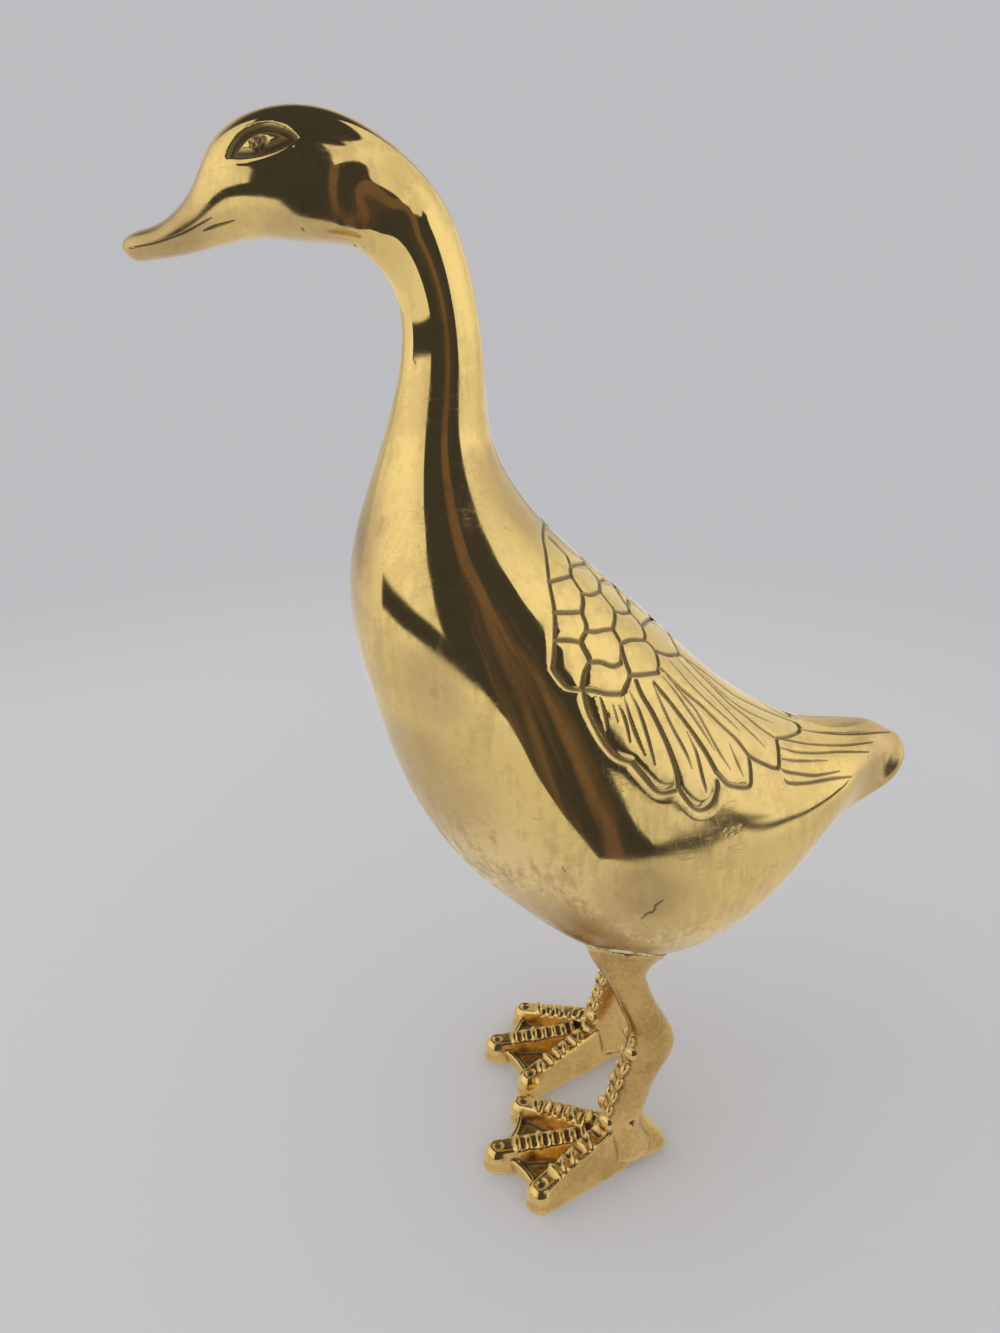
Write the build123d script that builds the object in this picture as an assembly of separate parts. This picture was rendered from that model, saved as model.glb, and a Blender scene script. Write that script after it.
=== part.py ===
from build123d import *

import os
from collections import namedtuple
from math import copysign, cos, hypot, radians, sin

# Polished brass duck: two hollow half castings brazed along the midline, on two cast webbed legs.
# Millimetres. +Z is up, the bill points to -X and the duck's left side is -Y.
# The origin is on the surface that it stands on, below the middle of its box.

# Body ribs: each is a plane through the body, met by the midline at a top and a keel point, with the
# half width there and how far up from the keel the rib is widest, as a share of its height.
Rib = namedtuple("Rib", "top_x top_z keel_x keel_z half_width widest")

BILL_RIBS = [
    Rib(-88.5, 229.5, -88.2, 227.8, 1.6, 0.50),  # tip
    Rib(-87.2, 230.6, -87.2, 226.8, 3.2, 0.48),  # rounding of the tip
    Rib(-83.0, 232.2, -84.0, 226.2, 5.4, 0.45),  # nail
    Rib(-78.0, 234.8, -78.0, 227.0, 6.4, 0.45),  # middle
]
HOLLOW_RIBS = [
    Rib(-74.0, 239.2, -72.0, 228.3, 7.0, 0.45),  # bill base
    Rib(-69.0, 247.6, -63.0, 230.0, 9.4, 0.48),  # brow
    Rib(-55.0, 253.6, -53.5, 229.6, 11.6, 0.46),  # crown
    Rib(-38.5, 249.2, -45.5, 229.0, 10.6, 0.48),  # back of the head
    Rib(-26.4, 238.2, -41.2, 227.0, 9.3, 0.50),  # nape
    Rib(-20.8, 225.0, -36.6, 221.4, 8.6, 0.50),  # top of the neck
    Rib(-18.0, 208.0, -35.0, 210.0, 8.7, 0.50),  # middle of the neck
    Rib(-16.4, 191.5, -39.0, 193.0, 12.0, 0.50),  # foot of the neck
    Rib(-2.2, 169.5, -48.2, 162.5, 25.0, 0.50),  # shoulder
    Rib(18.6, 150.8, -44.8, 132.5, 33.5, 0.50),  # breast
    Rib(38.2, 132.8, -31.2, 97.0, 37.0, 0.50),  # wing
    Rib(51.6, 123.8, -12.0, 75.2, 36.0, 0.49),  # flank
    Rib(63.0, 119.0, 13.0, 59.6, 32.0, 0.46),  # belly
    Rib(74.0, 118.6, 37.0, 65.4, 22.8, 0.40),  # rump
    Rib(81.0, 117.8, 58.5, 84.0, 13.2, 0.38),  # root of the tail
]
TAIL_RIBS = [
    Rib(85.4, 115.4, 76.0, 97.6, 8.6, 0.40),  # tail
    Rib(88.0, 112.4, 86.2, 106.2, 4.5, 0.46),  # rounding of the tip
    Rib(88.5, 110.8, 88.3, 108.6, 1.6, 0.50),  # tip
]

BODY_RIBS = BILL_RIBS + HOLLOW_RIBS + TAIL_RIBS
BODY_WALL = 3.0
SEAM_WIDTH = 0.4

# Carving: lines cut into the left half. Those of the wing are drawn on a plane that leans back along it,
# with the plane's X along the body. Each line is a smooth curve through its points.
WING_LEAN = 35
LINE_WIDTH = 1.1
CARVING_DEPTH = 0.6
CARVING_REACH = 150.0
WING_EDGE = [(-4.8, 139), (-5.7, 130), (-5.3, 117), (-6.4, 104.5), (-3.3, 101), (0, 100.4)]
SCALE_WALLS = [
    [(-4, 135.6), (-1, 133), (0.3, 129)],
    [(-5.8, 123.6), (-0.2, 126.3)],
    [(0.3, 129), (-0.2, 126.5), (2, 122.4)],
    [(2, 122.4), (1.4, 117.5), (1.8, 113.2)],
    [(1.8, 113.2), (0.3, 110.5), (1.9, 106.3), (-0.2, 100.4)],
    [(-5.2, 116.6), (1.4, 117.5)],
    [(-5.6, 110.5), (0.3, 110.5)],
    [(0.3, 129), (4.2, 131.5), (7.4, 127.5), (6.9, 124.2)],
    [(2, 122.4), (4.2, 122.4), (6.9, 124.2)],
    [(6.9, 124.2), (9.6, 119.7), (8.4, 114.6)],
    [(1.8, 113.2), (8.4, 114.6)],
    [(8.4, 114.6), (10, 111.3), (9.4, 106.7)],
    [(1.9, 106.3), (7.3, 105.8), (9.4, 106.7)],
    [(10, 111.3), (11.2, 104.1), (9, 100)],
    [(-0.2, 100.4), (5.5, 99.7), (9, 100)],
    [(7.4, 127.5), (10.3, 129.1), (14.1, 122), (14.3, 120.4)],
    [(9.6, 119.7), (11.7, 119.5), (14.3, 120.4)],
    [(14.3, 120.4), (17, 115.3), (16.6, 113.4)],
    [(10, 111.3), (16.6, 113.4)],
    [(16.6, 113.4), (19.2, 110), (18.6, 105.6)],
    [(11.2, 104.1), (18.6, 105.6)],
    [(16.8, 117.1), (21.9, 120.9), (25.3, 118.1), (26.9, 112.1)],
    [(19.4, 111.1), (26.9, 112.1)],
]
FEATHER_EDGES = [
    [(0, 100.4), (2.8, 92.5), (7.4, 86.7), (10.5, 85.7)],
    [(10.5, 85.7), (15.6, 80), (18, 79.2), (20.9, 79.8)],
    [(12.6, 103.2), (18, 92), (21.4, 80.3)],
    [(21.4, 80.3), (25, 76.2), (27.2, 75.5), (29.6, 76.8), (31, 81.5)],
    [(17.2, 103), (24, 95), (31, 83.7)],
    [(31, 83.7), (34.8, 80.8), (39.5, 80.5), (40.6, 87.6)],
    [(19.9, 106.7), (29.7, 99), (40.6, 87.6)],
    [(40.6, 87.6), (43.2, 86.4), (48, 84.9), (50.1, 92.6)],
    [(28.7, 110.5), (38.5, 100.8), (50.1, 92.6)],
    [(50.1, 92.6), (54.6, 93.3), (58.4, 94.6), (56.4, 97.2)],
    [(26.9, 112.1), (40.9, 103.6), (56.4, 97.2)],
]

# Mouth and eye, drawn on the midline's plane. The eye is an almond with a ball standing in it.
MOUTH = [(-86, 228.7), (-82, 229.1), (-77, 230.3), (-72.4, 232.1), (-69.2, 233.9), (-66.2, 235.9)]
MOUTH_WIDTH = 0.8
EYE_FRONT = (-65.6, 243.9)
EYE_REAR = (-52.2, 247.2)
UPPER_LID = (-59.4, 249.8)
LOWER_LID = (-60.2, 243.7)
EYE_DEPTH = 0.9
EYE_BALL = (-59.0, 246.4)
EYE_BALL_RADIUS = 4.0

# Leg rings: level ellipses round the leg, from inside the foot to the waist under the thigh's flare.
Ring = namedtuple("Ring", "height x half_length half_width")

LEG_RINGS = [
    Ring(3.0, 17.0, 7.4, 5.8),  # inside the foot
    Ring(10.0, 17.4, 6.0, 4.9),  # ankle
    Ring(17.0, 18.0, 5.5, 4.4),
    Ring(25.0, 19.8, 5.4, 4.2),  # middle of the shank
    Ring(33.0, 22.2, 5.9, 4.3),
    Ring(38.5, 23.9, 6.2, 4.5),  # hock
    Ring(44.0, 23.4, 5.6, 4.4),
    Ring(51.0, 20.2, 5.0, 4.3),
    Ring(57.0, 17.8, 4.8, 4.4),  # waist
]

# Flare rings: measured into the body from the point of the belly over the leg, and turned from level
# to the slope of the belly by the share in lean.
Flare = namedtuple("Flare", "inside half_length half_width lean")

SEAT_X = 16.4
SEAT_INWARD = 1.8
FLARE_BELOW = Flare(-4.5, 5.6, 5.2, 0.4)
FLARE_RIM = Flare(1.2, 10.0, 8.8, 1.0)
FLARE_HIDDEN = Flare(4.2, 11.2, 9.8, 1.0)

SPIGOT_RADIUS = 3.0
SPIGOT_ROOT = 6.0
SPIGOT_PROUD = 1.5
SPIGOT_CLEARANCE = 0.1
BEAD_WIDTH = 1.2
BEAD_HEIGHT = 0.7
BEAD_REACH = 9.0

# The two legs were set by hand, so they don't quite mirror each other.
LEFT_STANCE = 21.0
LEFT_FORWARD = 1.2
RIGHT_STANCE = 18.0
RIGHT_FORWARD = -2.0

# Foot: toes fan out from the ankle, measured on the ground from the middle of the ankle.
Toe = namedtuple("Toe", "length splay root_height")

FOOT_X = 16.0
OUTER_TOE = Toe(29.6, 31, 13.5)
MIDDLE_TOE = Toe(36.0, 0, 9.5)
INNER_TOE = Toe(31.8, -32, 11.5)
TOE_ROOT_WIDTH = 11.4
TOE_ROOT_TOP = 5.6
TOE_WIDTH = 8.4
TOE_TOP = 4.6
TOE_HEIGHT = 6.2
TOE_EDGE = 0.7
TOE_END_INSET = 0.15
KNOB_RADIUS = 3.6
KNOB_HEIGHT = 6.7
WEB_FLOOR = 2.8
WEB_LIP_HEIGHT = 4.0
WEB_LIP_WIDTH = 1.6
WEB_SETBACK = 2.6
WEB_HOLLOW = 2.4
HEEL = Toe(14.4, -172, 24.0)
HEEL_ROOT_WIDTH = 10.4
HEEL_WIDTH = 3.6
HEEL_TOP = 2.2
HEEL_HEIGHT = 4.0
RUNG_PITCH = 3.0
RUNG_GROOVE = 1.5
RUNG_DEPTH = 1.1
RUNG_LENGTH = 4.4
RUNG_INWARD = 1.2
TOE_RUNG_START = 7.0
SHANK_RUNGS = 8
SHANK_RUNG_START = 14.0
SHANK_RUNG_PITCH = 2.8
DIMPLE_RADIUS = 1.3
DIMPLE_BEHIND = 3.8
DIMPLE_OUT = 4.6
DIMPLE_HEIGHT = 15.0

# An edge runs along its bar when the cosine between the two is at least this.
LENGTHWISE = 0.8

BEYOND = 600.0


def body_section(rib, inset):
    """Face of one rib, drawn in by inset all round."""
    rise_x = rib.top_x - rib.keel_x
    rise_z = rib.top_z - rib.keel_z
    height = hypot(rise_x, rise_z)
    up_x = rise_x / height
    up_z = rise_z / height
    below = rib.widest * height
    origin = (rib.keel_x + up_x * below, 0, rib.keel_z + up_z * below)
    plane = Plane(origin=origin, x_dir=(0, 1, 0), z_dir=(up_z, 0, -up_x))
    half = rib.half_width - inset
    top = height - below - inset
    keel = below - inset
    arcs = [
        EllipticalCenterArc((0, 0), half, top, 0, arc_size=90),
        EllipticalCenterArc((0, 0), half, top, 90, arc_size=90),
        EllipticalCenterArc((0, 0), half, keel, 180, arc_size=90),
        EllipticalCenterArc((0, 0), half, keel, 270, arc_size=90),
    ]
    return plane * make_face(arcs)


def body_loft(ribs, inset=0.0):
    """Solid through the ribs, drawn in by inset."""
    return loft([body_section(rib, inset) for rib in ribs])


def belly_seat(body, stance, forward):
    """Point of the belly over the left leg, and the way into the body there."""
    plumb = Axis((SEAT_X - forward, SEAT_INWARD - stance, 0), (0, 0, 1))
    point, outward = body.find_intersection_points(plumb)[0]
    return point, -outward


def flare_plane(flare, seat, inward):
    """Plane of one flare ring."""
    way = Vector(0, 0, 1) * (1 - flare.lean) + inward * flare.lean
    return Plane(origin=seat + way.normalized() * flare.inside, x_dir=(1, 0, 0), z_dir=way)


def leg_column(seat, inward, stance, forward):
    """Thigh, hock and shank, from inside the belly down into the foot."""
    rings = []
    for ring in LEG_RINGS:
        centre = Pos(ring.x - forward, -stance, ring.height)
        rings.append(centre * Ellipse(ring.half_length, ring.half_width))
    for flare in (FLARE_BELOW, FLARE_RIM, FLARE_HIDDEN):
        plane = flare_plane(flare, seat, inward)
        rings.append(plane * Ellipse(flare.half_length, flare.half_width))
    return loft(rings)


def toe_section(centre, direction, distance, width, top, height):
    """Section of a toe that narrows from its sole to its top, at a distance along the toe."""
    origin = centre + direction * distance
    plane = Plane(origin=origin, x_dir=Vector(0, 0, 1).cross(direction), z_dir=direction)
    outline = Polyline(
        (-width / 2, 0), (width / 2, 0), (top / 2, height), (-top / 2, height), close=True
    )
    return plane * make_face(outline)


def toe_direction(splay):
    """Way a toe points on the ground, with splay away from the midline on the left side."""
    return Vector(-cos(radians(splay)), -sin(radians(splay)), 0)


def tapered_bar(centre, direction, root, end):
    """Bar from a root section to an end section, with its two upper edges eased."""
    sections = [toe_section(centre, direction, *root), toe_section(centre, direction, *end)]
    bar = loft(sections, ruled=True)
    along = [edge for edge in bar.edges() if abs(edge.tangent_at(0.5).dot(direction)) > LENGTHWISE]
    upper = sorted(along, key=lambda edge: edge.center().Z)[-2:]
    return fillet(upper, TOE_EDGE)


def toe(centre, each):
    """One toe: high at the ankle, tapering to a round end with a knob on it."""
    direction = toe_direction(each.splay)
    end_at = each.length - TOE_WIDTH / 2
    root = (0.0, TOE_ROOT_WIDTH, TOE_ROOT_TOP, each.root_height)
    end = (end_at, TOE_WIDTH, TOE_TOP, TOE_HEIGHT)
    place = Pos(centre + direction * end_at)
    cone = Cone(TOE_WIDTH / 2 - TOE_END_INSET, TOE_TOP / 2 - TOE_END_INSET, TOE_HEIGHT)
    knob = place * Pos(0, 0, KNOB_HEIGHT - KNOB_RADIUS) * Sphere(KNOB_RADIUS)
    round_end = place * Pos(0, 0, TOE_HEIGHT / 2) * cone + split(knob, Plane.XY, keep=Keep.TOP)
    return tapered_bar(centre, direction, root, end) + round_end


def heel(centre):
    """Short fin behind the ankle."""
    root = (0.0, HEEL_ROOT_WIDTH, TOE_ROOT_TOP, HEEL.root_height)
    end = (HEEL.length, HEEL_WIDTH, HEEL_TOP, HEEL_HEIGHT)
    return tapered_bar(centre, toe_direction(HEEL.splay), root, end)


def web_plan(centre, setback):
    """Outline of the web on the ground, set back from the toes' ends, hollow between them."""
    toes = [OUTER_TOE, MIDDLE_TOE, INNER_TOE]
    ends = [centre + toe_direction(t.splay) * (t.length - setback) for t in toes]
    edges = [Line(centre, ends[0])]
    for first, second in zip(ends, ends[1:]):
        middle = (first + second) / 2
        hollow = middle + (centre - middle).normalized() * WEB_HOLLOW
        edges.append(ThreePointArc(first, hollow, second))
    edges.append(Line(ends[-1], centre))
    return make_face(edges)


def web(centre):
    """Web between the toes: a thin floor with a raised lip along its front edge."""
    lip = extrude(web_plan(centre, WEB_SETBACK), WEB_LIP_HEIGHT)
    floor = extrude(web_plan(centre, WEB_SETBACK + WEB_LIP_WIDTH), WEB_LIP_HEIGHT)
    return lip - Pos(0, 0, WEB_FLOOR) * floor


def toe_ridge(each, distance):
    """Height of a toe's ridge at a distance from the ankle."""
    return each.root_height + (TOE_HEIGHT - each.root_height) * distance / (each.length - TOE_WIDTH / 2)


def rung_cutter(plane):
    """Bar that cuts a V groove across a ridge, along the plane's Y."""
    profile = Polyline(
        (-RUNG_GROOVE, RUNG_DEPTH), (RUNG_GROOVE, RUNG_DEPTH), (0, -RUNG_DEPTH), close=True
    )
    bar = extrude(Plane.XZ * make_face(profile), RUNG_LENGTH / 2, both=True)
    return plane * bar


def toe_rungs(centre, each):
    """V grooves across the ridge of a toe. Those of the side toes are set towards the middle toe."""
    direction = toe_direction(each.splay)
    inward = toe_direction(90) * (0 if each.splay == 0 else copysign(RUNG_INWARD, -each.splay))
    count = int((each.length - TOE_WIDTH - TOE_RUNG_START) / RUNG_PITCH) + 1
    cutters = []
    for index in range(count):
        distance = TOE_RUNG_START + index * RUNG_PITCH
        origin = centre + direction * distance + inward + Vector(0, 0, toe_ridge(each, distance))
        cutters.append(rung_cutter(Plane(origin=origin, x_dir=direction, z_dir=(0, 0, 1))))
    return cutters


def shank_rungs(stance, forward):
    """V grooves across the front of the shank."""
    cutters = []
    for index in range(SHANK_RUNGS):
        height = SHANK_RUNG_START + index * SHANK_RUNG_PITCH
        below = [ring for ring in LEG_RINGS if ring.height <= height][-1]
        above = [ring for ring in LEG_RINGS if ring.height > height][0]
        share = (height - below.height) / (above.height - below.height)
        front_below = below.x - below.half_length
        front_above = above.x - above.half_length
        front = front_below + (front_above - front_below) * share
        origin = (front - forward, -stance, height)
        cutters.append(rung_cutter(Plane(origin=origin, x_dir=(0, 0, 1), z_dir=(-1, 0, 0))))
    return cutters


def leg(body, stance, forward):
    """Left leg at a stance from the midline, seated on the body, with its spigot."""
    seat, inward = belly_seat(body, stance, forward)
    centre = Vector(FOOT_X - forward, -stance, 0)
    toes = [OUTER_TOE, MIDDLE_TOE, INNER_TOE]
    foot = [toe(centre, each) for each in toes] + [heel(centre), web(centre)]
    solid = leg_column(seat, inward, stance, forward) + foot
    cutters = shank_rungs(stance, forward)
    for each in toes:
        cutters += toe_rungs(centre, each)
    solid -= cutters
    dimple = Pos(centre + Vector(DIMPLE_BEHIND, -DIMPLE_OUT, DIMPLE_HEIGHT))
    solid -= dimple * Sphere(DIMPLE_RADIUS)
    return solid - body + spigot(body, stance, forward, SPIGOT_RADIUS)


def spigot(body, stance, forward, radius):
    """Round bar through the belly wall, square to it."""
    seat, inward = belly_seat(body, stance, forward)
    length = SPIGOT_ROOT + BODY_WALL + SPIGOT_PROUD
    plane = Plane(origin=seat, x_dir=(1, 0, 0), z_dir=inward)
    return plane * Pos(0, 0, length / 2 - SPIGOT_ROOT) * Cylinder(radius, length)


def leg_bead(body, fitted_leg, stance, forward):
    """Bead of filler round the rim of the flare, lying on the belly."""
    plane = flare_plane(FLARE_RIM, *belly_seat(body, stance, forward))
    collar = Ellipse(FLARE_RIM.half_length + BEAD_WIDTH, FLARE_RIM.half_width + BEAD_WIDTH)
    column = plane * extrude(collar, BEAD_REACH, both=True)
    grown = body_loft(HOLLOW_RIBS, -BEAD_HEIGHT)
    return (column & grown) - body - fitted_leg


def cut_lines(plane, lines, width):
    """Prism of strips along the lines that are drawn on a plane, towards its Z."""
    strips = Sketch() + [trace(Spline(*points), width) for points in lines]
    return extrude(plane * strips, CARVING_REACH)


def line_carving():
    """What is cut out of the left half along the lines of its wing and mouth."""
    lean = radians(WING_LEAN)
    wing_plane = Plane(origin=(0, 0, 0), x_dir=(1, 0, 0), z_dir=(0, -cos(lean), sin(lean)))
    wing = cut_lines(wing_plane, [WING_EDGE] + SCALE_WALLS + FEATHER_EDGES, LINE_WIDTH)
    mouth = cut_lines(Plane.XZ, [MOUTH], MOUTH_WIDTH)
    core = body_loft(BODY_RIBS, CARVING_DEPTH)
    return [wing - core, mouth - core]


def eye_carving(body):
    """What is cut out of the left half for its eye, round the ball."""
    lids = [ThreePointArc(EYE_FRONT, UPPER_LID, EYE_REAR), ThreePointArc(EYE_REAR, LOWER_LID, EYE_FRONT)]
    almond = extrude(Plane.XZ * make_face(lids), CARVING_REACH)
    inward = Axis((EYE_BALL[0], -CARVING_REACH, EYE_BALL[1]), (0, 1, 0))
    point, outward = body.find_intersection_points(inward)[0]
    ball = Pos(point - outward * EYE_BALL_RADIUS) * Sphere(EYE_BALL_RADIUS)
    return almond - body_loft(HOLLOW_RIBS, EYE_DEPTH) - ball


def left_half(shape):
    """What lies left of the seam."""
    return split(shape, Plane(origin=(0, -SEAM_WIDTH / 2, 0), z_dir=(0, -1, 0)), keep=Keep.TOP)


def other_side(shape):
    """Mirror image across the midline."""
    return mirror(shape, Plane.XZ)


body = body_loft(BODY_RIBS)
casting = body - body_loft(HOLLOW_RIBS, BODY_WALL)
carved_half = left_half(casting) - line_carving() - eye_carving(body)

left_leg = leg(body, LEFT_STANCE, LEFT_FORWARD)
right_leg = leg(body, RIGHT_STANCE, RIGHT_FORWARD)
hole = SPIGOT_RADIUS + SPIGOT_CLEARANCE

parts = {
    "left_body_shell": carved_half - spigot(body, LEFT_STANCE, LEFT_FORWARD, hole),
    "right_body_shell": other_side(carved_half - spigot(body, RIGHT_STANCE, RIGHT_FORWARD, hole)),
    "seam_braze": casting & Box(BEYOND, SEAM_WIDTH, BEYOND),
    "left_leg": left_leg,
    "right_leg": other_side(right_leg),
    "left_leg_braze": leg_bead(body, left_leg, LEFT_STANCE, LEFT_FORWARD),
    "right_leg_braze": other_side(leg_bead(body, right_leg, RIGHT_STANCE, RIGHT_FORWARD)),
}

os.makedirs("parts", exist_ok=True)
for name, shape in parts.items():
    export_step(shape, f"parts/{name}.step")
    print(f"{name}: {len(shape.solids())} solid, {shape.volume / 1000:.1f} cm3")
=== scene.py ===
"""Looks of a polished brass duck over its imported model: skin, chased feathers, cast legs and studio."""

import math
from collections import namedtuple
from types import SimpleNamespace

import bmesh
import bpy
import numpy as np
from mathutils import Matrix, Vector, kdtree


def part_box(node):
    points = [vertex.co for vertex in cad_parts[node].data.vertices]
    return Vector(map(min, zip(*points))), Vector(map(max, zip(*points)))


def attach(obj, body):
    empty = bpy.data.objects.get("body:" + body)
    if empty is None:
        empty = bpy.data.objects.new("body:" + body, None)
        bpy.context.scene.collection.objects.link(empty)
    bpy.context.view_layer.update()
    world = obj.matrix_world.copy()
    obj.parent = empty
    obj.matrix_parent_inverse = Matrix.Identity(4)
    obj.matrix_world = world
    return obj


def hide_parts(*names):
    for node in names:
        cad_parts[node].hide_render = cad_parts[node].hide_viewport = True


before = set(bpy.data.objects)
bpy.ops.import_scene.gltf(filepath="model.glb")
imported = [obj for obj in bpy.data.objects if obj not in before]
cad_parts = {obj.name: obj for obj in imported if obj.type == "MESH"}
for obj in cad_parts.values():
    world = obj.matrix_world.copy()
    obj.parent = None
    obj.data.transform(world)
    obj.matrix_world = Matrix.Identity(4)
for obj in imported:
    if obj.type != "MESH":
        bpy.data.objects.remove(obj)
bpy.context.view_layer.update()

bl_info = {
    "name": "Brass duck",
    "version": (1, 0, 0),
    "blender": (4, 5, 0),
    "location": "3D View > Sidebar > Duck",
    "description": "Builds a polished brass duck with chased feathers on cast webbed legs",
    "category": "Object",
}

MM = 0.001
BODY = "root"

# Camera: the photograph is 1000 by 1333 pixels, and its focal length is in pixels.
IMAGE_WIDTH = 1000
IMAGE_HEIGHT = 1333
FOCAL_PIXELS = 1000
SENSOR = 36.0
VIEW_TARGET = Vector((-14.5, 0, 137)) * MM
VIEW_DISTANCE = 237 * MM
VIEW_AZIMUTH = math.radians(-5.1)
VIEW_ELEVATION = math.radians(23)
VIEW_BACK = Vector(
    (
        math.sin(VIEW_AZIMUTH) * math.cos(VIEW_ELEVATION),
        -math.cos(VIEW_AZIMUTH) * math.cos(VIEW_ELEVATION),
        math.sin(VIEW_ELEVATION),
    )
)
VIEW_RIGHT = Vector((math.cos(VIEW_AZIMUTH), math.sin(VIEW_AZIMUTH), 0))
VIEW_UP = VIEW_BACK.cross(VIEW_RIGHT)
VIEWPOINT = VIEW_TARGET + VIEW_BACK * VIEW_DISTANCE

# Stage, in metres and watts.
FLOOR_RADIUS = 0.6
FLOOR_SIDES = 96
LAMP_PLACE = Vector((-0.75, -0.15, 0.85))
LAMP_SIZE = (0.9, 0.7)
LAMP_POWER = 1.5

# Dark panel in front of the duck for the metal to mirror, in millimetres: its place, and its outline from
# its foot up the edge towards the tail, over the top and down the edge towards the bill.
PANEL_Y = -125
PANEL_OUTLINE = [
    *[(9, 7), (58, 40), (105, 64), (162, 98), (250, 122)],
    *[(162, 118), (105, 80), (60, 56), (53, 88), (56, 126), (68, 171), (104, 230), (131, 289), (150, 350)],
    *[(100, 350), (60, 312), (0, 300), (-18, 350), (-105, 350)],
    *[(-105, 235), (-80, 151), (-37, 120), (-13, 64)],
]

# Soft boxes that the metal mirrors, in degrees: azimuth from the front towards the tail, half width, foot
# and top, and the top of the pale cloth below. They fade over the soft edge.
SoftBox = namedtuple("SoftBox", "azimuth half_width foot top cloth")

SOFT_BOXES = [SoftBox(-82, 48, 4, 62, -9), SoftBox(97, 53, -1.5, 63, -5.5), SoftBox(33, 15, 26, 56, -60)]
SOFT_EDGE = 1.2

# What the metal mirrors, as shares of the daylight: a box at its edge, the cloth and the wall behind. The
# daylight is a little warm, and what is not metal is lit by the sky.
BOX_LEVEL = 0.79
CLOTH_LEVEL = 0.78
WALL_LEVEL = 0.55
DAYLIGHT_BLUE = 0.98
SKY = (0.85, 0.85, 0.86)

# Ways that the metal's rays go, as parts of a vector of length 1: a pair is where a change starts and ends.
WALL_FOOT = (0.0, 0.25)  # back
WALL_TOP = (0.45, 0.75)  # up
BOX_MIDDLE = Vector((0.93, -0.15, 0.33))
BOX_GLOW = (0.75, 1.0)  # towards the middle of a box
TAIL_FRONT = (-0.22, -0.1)  # back, at the tail, where the boxes reach down
TAIL_SIDE = (0.0, 0.2)  # across
REAR = (0.02, 0.12)  # back, where the boxes reach down
CLOTH_SIDE = (0.0, 0.3)  # towards a box

# Body ribs in millimetres: where the rib's plane meets the midline at its top and its keel, the half
# width there, how far up from the keel the rib is widest, as a share of its height, and how full its
# outline is below that: 2 is an ellipse, and more is squarer.
Rib = namedtuple("Rib", "top_x top_z keel_x keel_z half_width widest fullness", defaults=[2.0])

RIBS = [
    Rib(-88.5, 229.5, -88.2, 227.8, 1.6, 0.50),  # bill tip
    Rib(-87.2, 230.6, -87.2, 226.8, 3.2, 0.48),
    Rib(-83.0, 232.2, -84.0, 226.2, 5.4, 0.45),  # nail of the bill
    Rib(-78.0, 234.8, -78.0, 227.0, 6.4, 0.45),
    Rib(-74.0, 239.2, -72.0, 228.3, 7.0, 0.45),  # bill base
    Rib(-69.0, 247.6, -63.0, 230.0, 9.4, 0.43, 2.5),  # brow
    Rib(-55.0, 253.6, -53.5, 229.6, 11.6, 0.38, 3.1),  # crown
    Rib(-38.5, 249.2, -45.5, 229.0, 10.6, 0.43, 2.9),  # back of the head
    Rib(-26.4, 238.2, -41.2, 227.0, 9.3, 0.50),  # nape
    Rib(-20.8, 225.0, -36.6, 221.4, 8.6, 0.50),
    Rib(-18.0, 208.0, -35.0, 210.0, 8.7, 0.50),  # middle of the neck
    Rib(-16.4, 191.5, -39.0, 193.0, 12.0, 0.50),  # foot of the neck
    Rib(-2.2, 169.5, -48.2, 162.5, 25.0, 0.50),  # shoulder
    Rib(18.6, 150.8, -44.8, 132.5, 33.5, 0.50),  # breast
    Rib(38.2, 132.8, -31.2, 97.0, 37.0, 0.50),  # wing
    Rib(51.6, 123.8, -12.0, 75.2, 36.0, 0.49),  # flank
    Rib(63.0, 119.0, 13.0, 59.6, 32.0, 0.46),  # belly
    Rib(74.0, 118.6, 37.0, 65.4, 22.8, 0.40),  # rump
    Rib(81.0, 117.8, 58.5, 84.0, 13.2, 0.38),  # root of the tail
    Rib(85.4, 115.4, 76.0, 97.6, 8.6, 0.40),
    Rib(88.0, 112.4, 86.2, 106.2, 4.5, 0.46),
    Rib(88.5, 110.8, 88.3, 108.6, 1.6, 0.50),  # tail tip
]
FIRST_HOLLOW_RIB = 4
LAST_HOLLOW_RIB = 18

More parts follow.
